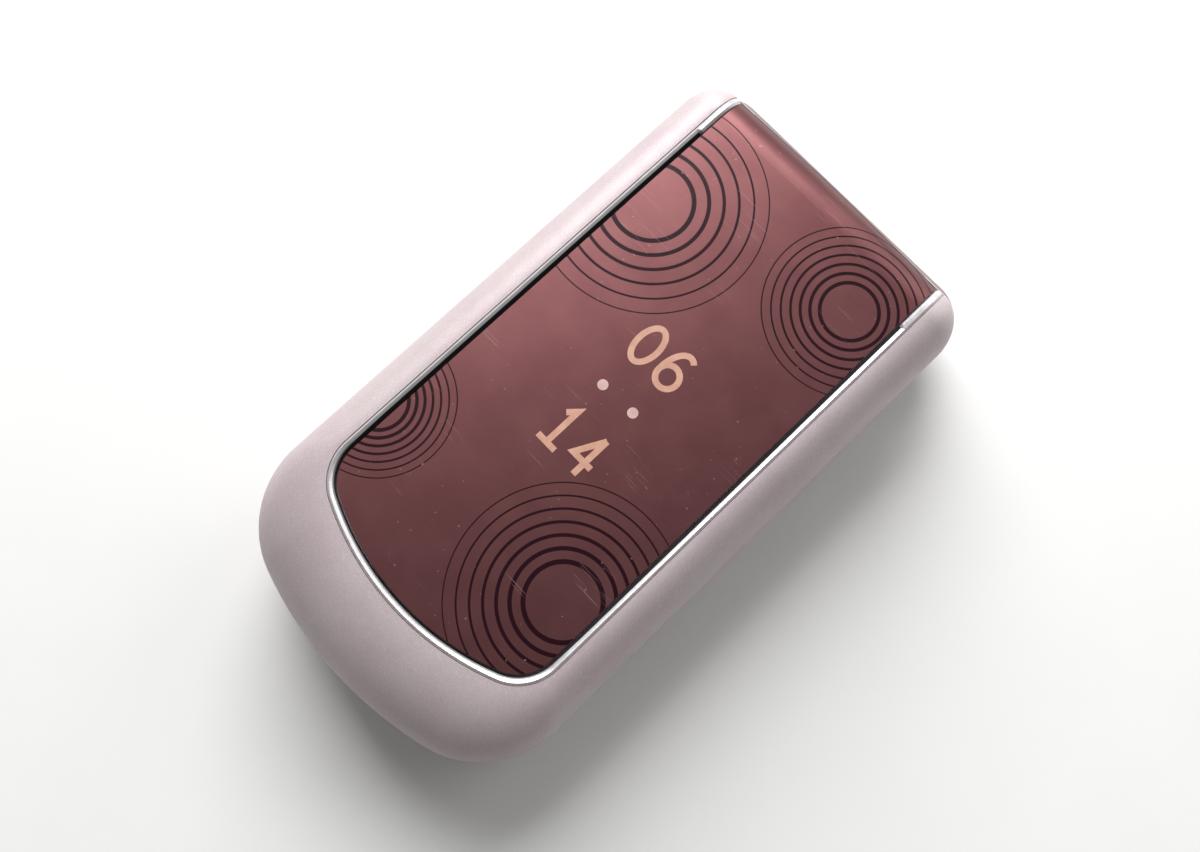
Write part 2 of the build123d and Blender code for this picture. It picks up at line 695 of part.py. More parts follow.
# Base envelope: an outline with four sides, drawn in as it rounds down to the floor
def base_face(side, free, rear, skin):
    half = WIDTH / 2 - side - skin
    y_free = free + skin - LENGTH / 2
    y_rear = LENGTH / 2 - rear - skin
    corner = CORNER_RADIUS - side - skin
    face = free_end_face(half, y_free, y_rear, BOW_RADIUS - free - skin, corner)
    back = face.vertices().sort_by(Axis.Y)[-2:]
    return fillet(back, REAR_CORNER - skin)


def base_envelope(skin):
    """Outer form of the base, or the same form one skin further in."""
    faces = []
    for angle in reversed(RIM_ANGLES):
        step = 1 - cos(radians(angle))
        z = BASE_ROUND * (1 - sin(radians(angle))) + skin
        outline = base_face(SIDE_TUCK * step, FREE_TUCK * step, REAR_TUCK * step, skin)
        faces.append(Pos(0, 0, z) * outline)
    wall = base_face(0, 0, 0, skin)
    upper = Pos(0, 0, BASE_ROUND + skin) * extrude(wall, BASE_TOP - BASE_ROUND - skin)
    return loft(faces) + upper


def swing_space():
    """Room that the lid and its knuckles need at the rear of the base."""
    radius = HINGE_RADIUS + CLEARANCE
    saddle = rod_x(radius, -WIDTH, WIDTH, HINGE_Y, HINGE_Z)
    behind = Pos(0, HINGE_Y, HINGE_Z) * Rot(180 - OPEN_ANGLE, 0, 0)
    behind = behind * Pos(0, LENGTH / 4, (HINGE_RADIUS - radius) / 2)
    return saddle + behind * Box(2 * WIDTH, LENGTH / 2, HINGE_RADIUS + radius)


def below(z):
    """Half space under a level, as a large box."""
    return block(-WIDTH, WIDTH, -LENGTH, LENGTH, -HEIGHT, z)


def above(z):
    return block(-WIDTH, WIDTH, -LENGTH, LENGTH, z, 2 * HEIGHT)


def barrel():
    """Barrel between the knuckles, with the web that joins it to the base."""
    drop = HINGE_Z - BASE_TOP
    reach = HINGE_RADIUS + BASE_WALL
    foot = reach * sin(radians(WEB_ANGLE))
    front = drop * cos(radians(WEB_ANGLE)) / sin(radians(WEB_ANGLE))
    corners = [
        (-reach, -drop),
        (-front, -drop),
        (-reach * cos(radians(WEB_ANGLE)), -foot),
        (-reach, -foot),
    ]
    web = Pos(0, HINGE_Y, HINGE_Z) * extrude(
        Plane.YZ * Polygon(*corners, align=None), BARREL_HALF, both=True
    )
    tube = rod_x(BARREL_RADIUS, -BARREL_HALF, BARREL_HALF, HINGE_Y, HINGE_Z)
    return web + tube


def number_key_places():
    """Column and row centre of each key, numbered as on a telephone."""
    places = {}
    names = ["1", "2", "3", "4", "5", "6", "7", "8", "9", "star", "0", "hash"]
    for index, name in enumerate(names):
        column = index % 3 - 1
        row = index // 3
        places["key_" + name] = (column * KEY_PITCH_X, KEY_ROW_Y - row * KEY_PITCH_Y)
    return places


def side_key_places():
    """The four function keys, two each side of the navigation ring."""
    half = SIDE_KEY_STEP / 2
    return {
        "left_soft_key": (-SIDE_KEY_X, NAV_Y + half),
        "right_soft_key": (SIDE_KEY_X, NAV_Y + half),
        "call_key": (-SIDE_KEY_X, NAV_Y - half),
        "end_key": (SIDE_KEY_X, NAV_Y - half),
    }


def capped_key(width, length, place):
    """A key: its cap, the flange under the plate and the foot over its dome."""
    x, y = place
    flange_low = FLANGE_TOP - KEY_FLANGE_HEIGHT
    cap = slab(width, length, KEY_CORNER, x, y, flange_low, BASE_TOP - SEAT)
    cap = chamfer(cap.edges().group_by(Axis.Z)[-1], KEY_BEVEL)
    grow = 2 * (KEY_GAP + KEY_FLANGE)
    flange = slab(width + grow, length + grow, KEY_CORNER, x, y, flange_low, FLANGE_TOP)
    foot = block(x - KEY_STEM, x + KEY_STEM, y - KEY_STEM, y + KEY_STEM, KEY_FOOT, flange_low)
    return cap + flange + foot


def nav_ring():
    """Navigation ring: presses at its four sides, open in the middle."""
    foot = FLANGE_TOP - 3 * KEY_GAP
    top = BASE_TOP - 2 * SEAT
    ring = slab(NAV_WIDTH, NAV_LENGTH, NAV_CORNER, 0, NAV_Y, foot, top)
    ring = chamfer(ring.edges().group_by(Axis.Z)[-1], KEY_BEVEL)
    grow = 2 * (KEY_GAP + KEY_FLANGE)
    ring = ring + slab(
        NAV_WIDTH + grow,
        NAV_LENGTH + grow,
        NAV_CORNER + grow / 2,
        0,
        NAV_Y,
        foot,
        foot + KEY_FLANGE,
    )
    return ring - slab(
        SELECT_WIDTH + 2 * CLEARANCE,
        SELECT_LENGTH + 2 * CLEARANCE,
        SELECT_CORNER + CLEARANCE,
        0,
        NAV_Y,
        0,
        HEIGHT,
    )


def nav_backing():
    """Rocking plate under the navigation ring."""
    top = FLANGE_TOP - 3 * KEY_GAP - CLEARANCE
    plate = slab(NAV_WIDTH - 4 * NAV_INSET, NAV_LENGTH - 2 * NAV_INSET, NAV_CORNER, 0, NAV_Y, KEY_FOOT, top)
    return plate - slab(
        SELECT_WIDTH + 2 * CLEARANCE,
        SELECT_LENGTH + 2 * CLEARANCE,
        SELECT_CORNER,
        0,
        NAV_Y,
        0,
        HEIGHT,
    )


def select_key():
    key = slab(SELECT_WIDTH, SELECT_LENGTH, SELECT_CORNER, 0, NAV_Y, KEY_FOOT, BASE_TOP - SEAT)
    return chamfer(key.edges().group_by(Axis.Z)[-1], KEY_BEVEL)


def side_wall_cuts():
    """Openings in the base's walls for sockets and the volume rocker."""
    jack = rod_x(JACK_BODY / 2, 0, WIDTH, JACK_Y, JACK_Z)
    charger = Pos(CHARGER_X, -LENGTH / 2, JACK_Z) * Rot(90, 0, 0) * Cylinder(CHARGER_BODY / 2, CHARGER_DEPTH)
    usb = block(
        -WIDTH,
        USB_DEPTH - WIDTH / 2 + SEAT,
        USB_Y - USB_WIDTH / 2 - SEAT,
        USB_Y + USB_WIDTH / 2 + SEAT,
        SPLIT_Z - USB_HEIGHT - SEAT,
        SPLIT_Z,
    )
    rocker = block(
        -WIDTH,
        ROCKER_DEPTH - WIDTH / 2,
        ROCKER_Y - ROCKER_LENGTH / 2 - CLEARANCE,
        ROCKER_Y + ROCKER_LENGTH / 2 + CLEARANCE,
        ROCKER_Z - ROCKER_HEIGHT / 2 - CLEARANCE,
        ROCKER_Z + ROCKER_HEIGHT / 2 + CLEARANCE,
    )
    return jack + charger + usb + rocker


def base_hollow(skin, y_end, z0, z1):
    """Room inside the base's walls, straight up and down."""
    face = free_end_face(
        WIDTH / 2 - skin, skin - LENGTH / 2, y_end, BOW_RADIUS - skin, CORNER_RADIUS - skin
    )
    return Pos(0, 0, z0) * extrude(face, z1 - z0)


def boss_rib(x, y, half, z0, z1):
    """Rib that ties a screw boss to the side wall next to it."""
    wall = WIDTH / 2 - BASE_WALL / 2
    if x < 0:
        return block(-wall, x, y - half, y + half, z0, z1)
    return block(x, wall, y - half, y + half, z0, z1)


def keypad_housing():
    """Upper half of the base: walls, keypad plate, saddles and the hinge barrel."""
    body = base_envelope(0) & above(SPLIT_Z)
    body = body - swing_space()
    body = body - base_hollow(BASE_WALL, BASE_CAVITY_END, SPLIT_Z, PLATE_UNDER)
    body = body + barrel()
    for x, y in BASE_SCREW_PLACES:
        boss_top = FLANGE_TOP - KEY_FLANGE_HEIGHT - CLEARANCE
        body = body + post(BASE_BOSS, x, y, SPLIT_Z, boss_top)
        body = body + boss_rib(x, y, BASE_RIB, SPLIT_Z, boss_top)
        body = body - post(BASE_SCREW_RADIUS, x, y, SPLIT_Z - SEAT, BASE_SCREW_TIP + SEAT)
    holes = []
    for x, y in number_key_places().values():
        holes.append((KEY_WIDTH, KEY_LENGTH, KEY_CORNER, x, y))
    for x, y in side_key_places().values():
        holes.append((SIDE_KEY_WIDTH, SIDE_KEY_LENGTH, KEY_CORNER, x, y))
    holes.append((NAV_WIDTH, NAV_LENGTH, NAV_CORNER, 0, NAV_Y))
    for width, length, corner, x, y in holes:
        grow = 2 * KEY_GAP
        body = body - slab(
            width + grow, length + grow, corner + KEY_GAP, x, y, PLATE_UNDER - SEAT, HEIGHT
        )
    body = body - post(MIC_HOLE, MIC_X, MIC_Y, PLATE_UNDER - SEAT, HEIGHT)
    body = body - side_wall_cuts()
    bush = BARREL_HALF - BUSH_LENGTH
    body = body - rod_x(MODULE_RADIUS + SEAT, -WIDTH, bush, HINGE_Y, HINGE_Z)
    return body - rod_x(PIN_RADIUS + RUNNING_FIT, 0, WIDTH, HINGE_Y, HINGE_Z)


def cover_space(skin, gap):
    """Outer rind of the base's free end, as thick as the battery cover and its gap."""
    end = COVER_END + gap
    part = block(-WIDTH, WIDTH, -LENGTH, end, -HEIGHT, COVER_TOP + gap)
    return (base_envelope(0) & part) - base_envelope(skin)


def battery_cover():
    return cover_space(COVER_WALL, 0)


def rear_housing():
    """Lower half of the base: battery bay, back wall and the room behind the hinge."""
    body = base_envelope(0) & below(SPLIT_Z)
    body = body - cover_space(COVER_WALL + COVER_GAP, COVER_GAP)
    bay_end = BATTERY_Y + BATTERY_LENGTH / 2 + CONTACT_LENGTH
    body = body - block(
        -BATTERY_WIDTH / 2 - BATTERY_GAP,
        BATTERY_WIDTH / 2 + BATTERY_GAP,
        BATTERY_Y - BATTERY_LENGTH / 2 - BATTERY_GAP,
        bay_end,
        -HEIGHT,
        BATTERY_Z + BATTERY_THICKNESS + COVER_GAP,
    )
    room = block(
        -ROOM_WIDTH / 2, ROOM_WIDTH / 2, COVER_END + BASE_WALL, ROOM_END, FLOOR, SPLIT_Z
    )
    room = fillet(room.edges().filter_by(Axis.Z).sort_by(Axis.Y)[-2:], REAR_CORNER / 2)
    body = body - room
    for width, length, x, y in [SIM_BAY, MEMORY_BAY]:
        body = body - Pos(x, y, SPLIT_Z) * Box(width + 2 * SEAT, length + 2 * SEAT, HEIGHT / 2)
    body = body - post(CAMERA_WINDOW_RADIUS + SEAT, CAMERA_X, CAMERA_Y, -SEAT, SPLIT_Z)
    body = body - post(FLASH_RADIUS + SEAT, FLASH_X, CAMERA_Y, -SEAT, SPLIT_Z)
    for index in range(SLOT_COUNT):
        x = SPEAKER_X + (index - (SLOT_COUNT - 1) / 2) * SLOT_PITCH
        slot = slab(SLOT_WIDTH, SLOT_LENGTH, SLOT_WIDTH / 2 - SEAT, x, SPEAKER_Y, -SEAT, SPLIT_Z)
        body = body - slot
    for x, y in BASE_SCREW_PLACES:
        body = body - post(BASE_SCREW_HEAD + SEAT, x, y, -SEAT, BASE_SCREW_SEAT)
        body = body - post(BASE_SCREW_RADIUS + SEAT, x, y, 0, HEIGHT)
    return body - side_wall_cuts()


def base_screws():
    """Screws that hold the two halves of the base together."""
    screws = []
    for x, y in BASE_SCREW_PLACES:
        head = post(BASE_SCREW_HEAD, x, y, BASE_SCREW_SEAT - BASE_SCREW_CAP, BASE_SCREW_SEAT)
        shank = post(BASE_SCREW_RADIUS - SEAT, x, y, BASE_SCREW_SEAT, BASE_SCREW_TIP)
        screws.append(head + shank)
    return Compound(screws)


def jack_notch():
    """Room that board and dome sheet leave for the headset socket."""
    half = JACK_BODY / 2 + CLEARANCE
    start = WIDTH / 2 - JACK_DEPTH - 2 * CLEARANCE
    return block(start, WIDTH, JACK_Y - half, JACK_Y + half, 0, HEIGHT)


def main_circuit_board():
    skin = BASE_WALL + CLEARANCE
    board = base_hollow(skin, BASE_CAVITY_END - CLEARANCE, BOARD_Z, BOARD_TOP)
    for x, y in BASE_SCREW_PLACES:
        board = board - post(BASE_BOSS + CLEARANCE, x, y, 0, HEIGHT)
        board = board - boss_rib(x, y, BASE_RIB + CLEARANCE, 0, HEIGHT)
    gap = CLEARANCE
    half = CHARGER_BODY / 2 + gap
    charger = block(
        CHARGER_X - half,
        CHARGER_X + half,
        -LENGTH,
        FREE_SET + CHARGER_DEPTH + 2 * gap - LENGTH / 2,
        0,
        HEIGHT,
    )
    half = ROCKER_LENGTH / 2 + gap
    rocker = block(
        -WIDTH, ROCKER_DEPTH + 2 * gap - WIDTH / 2, ROCKER_Y - half, ROCKER_Y + half, 0, HEIGHT
    )
    return board - jack_notch() - charger - rocker


def key_dome_sheet():
    """Sheet over the board with one metal dome under each key."""
    y0 = KEY_ROW_Y - 3 * KEY_PITCH_Y - KEY_LENGTH / 2
    y1 = NAV_Y + NAV_LENGTH / 2
    half = KEY_PITCH_X + KEY_LENGTH / 3
    sheet = block(-half, half, y0, y1, BOARD_TOP, BOARD_TOP + DOME_SHEET)
    places = list(number_key_places().values()) + list(side_key_places().values())
    places.append((0, NAV_Y))
    for x, y in places:
        dome = RegularPolygon(DOME_RADIUS, DOME_SIDES)
        sheet = sheet + Pos(x, y, BOARD_TOP) * extrude(dome, DOME_TOP - BOARD_TOP)
    return sheet - jack_notch()


def shield_cans():
    """Pressed covers on the underside of the board."""
    cans = []
    for x0, x1 in CAN_SPANS:
        can = block(x0, x1, CAN_Y, CAN_Y + CAN_LENGTH, SPLIT_Z - CAN_HEIGHT, SPLIT_Z)
        inner = block(
            x0 + CAN_SKIN,
            x1 - CAN_SKIN,
            CAN_Y + CAN_SKIN,
            CAN_Y + CAN_LENGTH - CAN_SKIN,
            SPLIT_Z - CAN_HEIGHT + CAN_SKIN,
            HEIGHT,
        )
        cans.append(can - inner)
    return Compound(cans)


def battery():
    pack = Pos(0, BATTERY_Y, BATTERY_Z + BATTERY_THICKNESS / 2) * Box(
        BATTERY_WIDTH, BATTERY_LENGTH, BATTERY_THICKNESS
    )
    return fillet(pack.edges().filter_by(Axis.Y), BATTERY_ROUND)


def battery_contacts():
    """Contact block at the battery's end, with its spring blades."""
    y0 = BATTERY_Y + BATTERY_LENGTH / 2 + BATTERY_GAP
    y1 = BATTERY_Y + BATTERY_LENGTH / 2 + CONTACT_LENGTH - SEAT
    z0 = BATTERY_Z + BATTERY_ROUND
    z1 = BATTERY_Z + BATTERY_THICKNESS
    holder = block(-CONTACT_WIDTH / 2, CONTACT_WIDTH / 2, y0, y1, z0, z1)
    for index in range(CONTACT_COUNT):
        x = (index - (CONTACT_COUNT - 1) / 2) * CONTACT_WIDTH / CONTACT_COUNT
        left = x - CONTACT_GROOVE
        right = x + CONTACT_GROOVE
        holder = holder - block(left, right, y0 - SEAT, y0 + CONTACT_DEPTH, 0, HEIGHT)
    return holder


def card_frame(bay, card):
    """Holder that fills its bay round a card."""
    width, length, x, y = bay
    z0 = SPLIT_Z - CARD_STACK
    outer = Pos(x, y, SPLIT_Z - CARD_STACK / 2) * Box(width, length, CARD_STACK)
    inner = Pos(x, y, z0) * Box(card[0] + 2 * SEAT, card[1] + 2 * SEAT, 4 * CARD_STACK)
    return outer - inner


def card_holders():
    """Holders of the SIM and of a memory card, the second one empty."""
    return Compound([card_frame(SIM_BAY, SIM_CARD), card_frame(MEMORY_BAY, MEMORY_CARD)])


def sim_card():
    """Card with one cut corner."""
    width, length = SIM_CARD
    x, y = SIM_BAY[2], SIM_BAY[3]
    card = Pos(x, y, SPLIT_Z - CARD_STACK / 2) * Box(width, length, CARD_STACK - 2 * SEAT)
    return chamfer(card.edges().filter_by(Axis.Z).sort_by(Axis.X)[-1], SIM_CORNER)


def camera_module():
    """Camera: square body, round barrel and the hollow in front of its lens."""
    body = Pos(CAMERA_X, CAMERA_Y, (CAMERA_LOW + SPLIT_Z) / 2) * Box(
        CAMERA_SIZE, CAMERA_SIZE, SPLIT_Z - CAMERA_LOW
    )
    tip = FLOOR + SEAT
    lens = post(CAMERA_WINDOW_RADIUS - FLOOR / 2, CAMERA_X, CAMERA_Y, tip, CAMERA_LOW)
    hollow = Pos(CAMERA_X, CAMERA_Y, tip) * Cone(
        CAMERA_WINDOW_RADIUS / 2, CAMERA_WINDOW_RADIUS / 4, FLOOR
    )
    return body + lens - hollow


def camera_window():
    return post(CAMERA_WINDOW_RADIUS, CAMERA_X, CAMERA_Y, GLASS_INSET, FLOOR)


def flash_lamp():
    lens = post(FLASH_RADIUS, FLASH_X, CAMERA_Y, GLASS_INSET, FLOOR + SEAT)
    top = FLOOR + SEAT + FLASH_HEIGHT
    return lens + post(FLASH_RADIUS + FLOOR / 2, FLASH_X, CAMERA_Y, FLOOR + SEAT, top)


def loudspeaker():
    body = slab(
        SPEAKER_WIDTH,
        SPEAKER_LENGTH,
        SPEAKER_WIDTH / 3,
        SPEAKER_X,
        SPEAKER_Y,
        FLOOR + SEAT,
        SPLIT_Z - 2 * FLOOR,
    )
    dish = post(SPEAKER_WIDTH / 3, SPEAKER_X, SPEAKER_Y, 0, FLOOR + 6 * SEAT)
    return body - dish


def vibration_motor():
    """Round motor whose shaft reaches towards the battery."""
    can = Pos(MOTOR_X, MOTOR_Y, MOTOR_Z) * Rot(90, 0, 0) * Cylinder(MOTOR_RADIUS, MOTOR_LENGTH)
    foot = block(
        MOTOR_X - MOTOR_RADIUS,
        MOTOR_X + MOTOR_RADIUS,
        MOTOR_Y - MOTOR_LENGTH / 2 + MOTOR_FOOT,
        MOTOR_Y + MOTOR_LENGTH / 2,
        FLOOR + SEAT,
        MOTOR_Z,
    )
    shaft_length = WEIGHT_LENGTH + 2 * CLEARANCE
    middle = MOTOR_Y - MOTOR_LENGTH / 2 - shaft_length / 2
    shaft = Pos(MOTOR_X, middle, MOTOR_Z) * Rot(90, 0, 0) * Cylinder(MOTOR_SHAFT, shaft_length)
    return can + foot + shaft


def vibrator_weight():
    """Half-round weight that turns on the motor's shaft."""
    middle = MOTOR_Y - MOTOR_LENGTH / 2 - CLEARANCE - WEIGHT_LENGTH / 2
    turn = Pos(MOTOR_X, middle, MOTOR_Z) * Rot(90, 0, 0)
    disc = turn * Cylinder(MOTOR_RADIUS - CLEARANCE, WEIGHT_LENGTH)
    lower = block(-WIDTH, WIDTH, -LENGTH, LENGTH, -HEIGHT, MOTOR_Z)
    hub = turn * Cylinder(3 * MOTOR_SHAFT, WEIGHT_LENGTH)
    return (disc & lower) + hub - turn * Cylinder(MOTOR_SHAFT + RUNNING_FIT, 2 * WEIGHT_LENGTH)


def microphone():
    return post(MIC_RADIUS, MIC_X, MIC_Y, BOARD_TOP, PLATE_UNDER - SEAT)


def data_socket():
    """Thin metal mouth of the data socket, with its tongue."""
    z0 = SPLIT_Z - USB_HEIGHT
    z1 = SPLIT_Z - SEAT
    x0 = -WIDTH / 2
    x1 = USB_DEPTH - WIDTH / 2
    y0 = USB_Y - USB_WIDTH / 2
    y1 = USB_Y + USB_WIDTH / 2
    shell = block(x0, x1, y0, y1, z0, z1)
    shell = chamfer(shell.edges().filter_by(Axis.X).group_by(Axis.Z)[0], USB_SKIN * 2)
    inner = block(x0 - 1, x1 - 2 * USB_SKIN, y0 + USB_SKIN, y1 - USB_SKIN, z0 + USB_SKIN, z1 - USB_SKIN)
    inner = chamfer(inner.edges().filter_by(Axis.X).group_by(Axis.Z)[0], USB_SKIN * 2)
    middle = (z0 + z1) / 2
    tongue = block(
        x0 + 3 * USB_SKIN,
        x1 - USB_SKIN,
        y0 + USB_WIDTH / 4,
        y1 - USB_WIDTH / 4,
        middle,
        middle + USB_SKIN,
    )
    return shell - inner + tongue


def headset_socket():
    half = JACK_BODY / 2 - SEAT
    inside = WIDTH / 2 - BASE_WALL - SEAT
    nose = rod_x(half, inside, WIDTH / 2 - SEAT, JACK_Y, JACK_Z)
    body = block(
        WIDTH / 2 - JACK_DEPTH - CLEARANCE,
        inside,
        JACK_Y - half,
        JACK_Y + half,
        JACK_Z - half,
        JACK_Z + half,
    )
    return body + nose - rod_x(JACK_RADIUS, WIDTH / 2 - JACK_DEPTH, WIDTH, JACK_Y, JACK_Z)


def charger_socket():
    half = CHARGER_BODY / 2 - SEAT
    y0 = -LENGTH / 2
    nose_length = BASE_WALL + CLEARANCE
    nose_middle = y0 + FREE_SET + nose_length / 2
    turn = Rot(90, 0, 0)
    nose = Pos(CHARGER_X, nose_middle, JACK_Z) * turn * Cylinder(half, nose_length)
    body = block(
        CHARGER_X - half,
        CHARGER_X + half,
        y0 + FREE_SET + nose_length,
        y0 + FREE_SET + CHARGER_DEPTH + CLEARANCE,
        JACK_Z - half,
        JACK_Z + half,
    )
    bore = Pos(CHARGER_X, y0 + FREE_SET + CHARGER_DEPTH / 2, JACK_Z) * turn
    return body + nose - bore * Cylinder(CHARGER_RADIUS, CHARGER_DEPTH)


def volume_rocker():
    key = block(
        -WIDTH / 2,
        ROCKER_DEPTH - WIDTH / 2 - CLEARANCE,
        ROCKER_Y - ROCKER_LENGTH / 2,
        ROCKER_Y + ROCKER_LENGTH / 2,
        ROCKER_Z - ROCKER_HEIGHT / 2,
        ROCKER_Z + ROCKER_HEIGHT / 2,
    )
    key = fillet(key.edges().filter_by(Axis.X), ROCKER_HEIGHT / 2 - SEAT)
    return chamfer(key.edges().group_by(Axis.X)[0], KEY_BEVEL)


def antenna():
    """Plastic carrier behind the hinge with the aerial folded over it."""
    body = block(
        -ANTENNA_WIDTH / 2,
        ANTENNA_WIDTH / 2,
        ROOM_END - SEAT - ANTENNA_LENGTH,
        ROOM_END - SEAT,
        FLOOR + SEAT,
        SPLIT_Z - SEAT,
    )
    return chamfer(body.edges().filter_by(Axis.Z).sort_by(Axis.Y)[-2:], REAR_CORNER / 2)


def hinge_housing():
    """Sleeve of the hinge module, closed at both ends round the shaft."""
    x0 = -BARREL_HALF + SEAT
    sleeve = rod_x(MODULE_RADIUS, x0, MODULE_END, HINGE_Y, HINGE_Z)
    sleeve = sleeve - rod_x(
        MODULE_RADIUS - MODULE_WALL,
        x0 + MODULE_WALL,
        MODULE_END - MODULE_WALL,
        HINGE_Y,
        HINGE_Z,
    )
    return sleeve - rod_x(SHAFT_RADIUS + RUNNING_FIT, -WIDTH, WIDTH, HINGE_Y, HINGE_Z)


def hinge_shaft():
    """Shaft keyed into the left knuckle, with the turning cam on it."""
    tip = -KNUCKLE_IN - PIN_REACH
    shaft = rod_x(SHAFT_RADIUS, tip + SEAT, MODULE_END - SEAT, HINGE_Y, HINGE_Z)
    cam = rod_x(MODULE_RADIUS - MODULE_WALL - SEAT, CAM_X, CAM_X + CAM_LENGTH, HINGE_Y, HINGE_Z)
    return shaft + cam - cam_notch(CAM_X + CAM_LENGTH)


def cam_notch(x):
    """Cross notch in a cam's face."""
    depth = CAM_LENGTH / 4
    return Pos(x, HINGE_Y, HINGE_Z) * Rot(0, 45, 0) * Box(depth, 2 * MODULE_RADIUS, depth)


def hinge_follower():
    """Follower that the spring presses against the cam."""
    ring = rod_x(
        MODULE_RADIUS - MODULE_WALL - SEAT, FOLLOWER_X, FOLLOWER_X + CAM_LENGTH, HINGE_Y, HINGE_Z
    )
    ring = ring - cam_notch(FOLLOWER_X)
    return ring - rod_x(SHAFT_RADIUS + RUNNING_FIT, -WIDTH, WIDTH, HINGE_Y, HINGE_Z)


def hinge_spring():
    """Coil spring between the follower and the closed end of the module."""
    length = MODULE_END - MODULE_WALL - SPRING_X - 2 * SPRING_WIRE - SEAT
    pitch = length / SPRING_TURNS
    path = Helix(pitch, length, SPRING_RADIUS - SPRING_WIRE)
    start = Plane(origin=path @ 0, z_dir=path % 0)
    wire = sweep(start * Rectangle(2 * SPRING_WIRE, 2 * SPRING_WIRE), path, is_frenet=True)
    return Pos(SPRING_X + SPRING_WIRE, HINGE_Y, HINGE_Z) * Rot(0, 90, 0) * wire


def hinge_pin():
    """Plain pin in the right knuckle, turning in the bush."""
    inner = BARREL_HALF - BUSH_LENGTH - SEAT
    return rod_x(PIN_RADIUS, inner, KNUCKLE_IN + PIN_REACH - SEAT, HINGE_Y, HINGE_Z)


def hinge_flex():
    """Flexible circuit rolled up inside the barrel between module and bush."""
    middle = (MODULE_END + BARREL_HALF - BUSH_LENGTH) / 2
    x0 = middle - FLEX_WIDTH / 2
    x1 = middle + FLEX_WIDTH / 2
    roll = rod_x(MODULE_RADIUS - SEAT, x0, x1, HINGE_Y, HINGE_Z)
    roll = roll - rod_x(MODULE_RADIUS - SEAT - FLEX_SKIN, x0 - 1, x1 + 1, HINGE_Y, HINGE_Z)
    slit = block(x0 - 1, x1 + 1, HINGE_Y, LENGTH, HINGE_Z, HINGE_Z + FLEX_SKIN * 2)
    return roll - slit


def build_parts():
    """Every piece of the phone, by node name."""
    parts = {
        "lid_outer_shell": lid_outer_shell(),
        "lid_window": lid_window(),
        "window_trim": window_trim(),
        "lid_inner_cover": lid_inner_cover(),
        "main_display_lens": main_display_lens(),
        "main_display": main_display(),
        "lid_circuit_board": lid_circuit_board(),
        "outer_display": outer_display(),
        "earpiece_speaker": earpiece_speaker(),
        "earpiece_grille": earpiece_grille(),
        "lid_bumpers": lid_bumpers(),
        "lid_screws": lid_screws(),
        "hinge_shaft": hinge_shaft(),
        "hinge_pin": hinge_pin(),
        "hinge_housing": hinge_housing(),
        "hinge_follower": hinge_follower(),
        "hinge_spring": hinge_spring(),
        "hinge_flex": hinge_flex(),
        "keypad_housing": keypad_housing(),
        "rear_housing": rear_housing(),
        "battery_cover": battery_cover(),
        "base_screws": base_screws(),
        "main_circuit_board": main_circuit_board(),
        "key_dome_sheet": key_dome_sheet(),
        "shield_cans": shield_cans(),
        "battery": battery(),
        "battery_contacts": battery_contacts(),
        "card_holders": card_holders(),
        "sim_card": sim_card(),
        "camera_module": camera_module(),
        "camera_window": camera_window(),
        "flash_lamp": flash_lamp(),
        "loudspeaker": loudspeaker(),
        "vibration_motor": vibration_motor(),
        "vibrator_weight": vibrator_weight(),
        "microphone": microphone(),
        "data_socket": data_socket(),
        "headset_socket": headset_socket(),
        "charger_socket": charger_socket(),
        "volume_rocker": volume_rocker(),
        "antenna": antenna(),
        "nav_ring": nav_ring(),
        "nav_backing": nav_backing(),
        "select_key": select_key(),
    }
    for name, place in side_key_places().items():
        parts[name] = capped_key(SIDE_KEY_WIDTH, SIDE_KEY_LENGTH, place)
    number_keys = number_key_places()
    for name, place in number_keys.items():
        parts[name] = capped_key(KEY_WIDTH, KEY_LENGTH, place)
    return parts


for node, solid in build_parts().items():
    solid.label = node
    export_step(solid, os.path.join("parts", node + ".step"))
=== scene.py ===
import json
from math import cos, radians, sin, sqrt

import bpy
from mathutils import Matrix, Vector


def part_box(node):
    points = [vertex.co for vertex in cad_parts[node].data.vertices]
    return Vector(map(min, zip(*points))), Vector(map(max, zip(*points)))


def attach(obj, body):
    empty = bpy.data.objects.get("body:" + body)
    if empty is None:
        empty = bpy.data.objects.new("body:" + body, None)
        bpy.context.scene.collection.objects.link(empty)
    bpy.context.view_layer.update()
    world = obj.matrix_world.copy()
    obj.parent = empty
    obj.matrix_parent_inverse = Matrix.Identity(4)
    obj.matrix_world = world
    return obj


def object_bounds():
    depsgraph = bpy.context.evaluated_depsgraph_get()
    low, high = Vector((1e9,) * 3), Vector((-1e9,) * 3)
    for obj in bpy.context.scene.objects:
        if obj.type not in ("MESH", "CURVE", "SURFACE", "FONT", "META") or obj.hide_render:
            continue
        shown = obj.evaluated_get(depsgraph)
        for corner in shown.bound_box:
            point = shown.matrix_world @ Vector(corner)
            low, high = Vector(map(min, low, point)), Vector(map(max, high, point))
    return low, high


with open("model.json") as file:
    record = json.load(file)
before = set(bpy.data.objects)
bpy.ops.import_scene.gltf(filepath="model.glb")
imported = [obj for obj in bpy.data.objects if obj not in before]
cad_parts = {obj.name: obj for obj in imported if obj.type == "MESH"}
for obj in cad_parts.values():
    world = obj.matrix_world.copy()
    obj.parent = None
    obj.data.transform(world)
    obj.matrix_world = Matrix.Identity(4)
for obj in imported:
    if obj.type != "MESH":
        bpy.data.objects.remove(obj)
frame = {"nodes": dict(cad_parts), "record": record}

# The closed phone lies on its back. +X is its right, +Y points to its hinge, +Z up.
# Sizes are in millimetres and scaled where objects are made.
MM = 0.001
cad_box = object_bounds()
nodes = frame["nodes"]

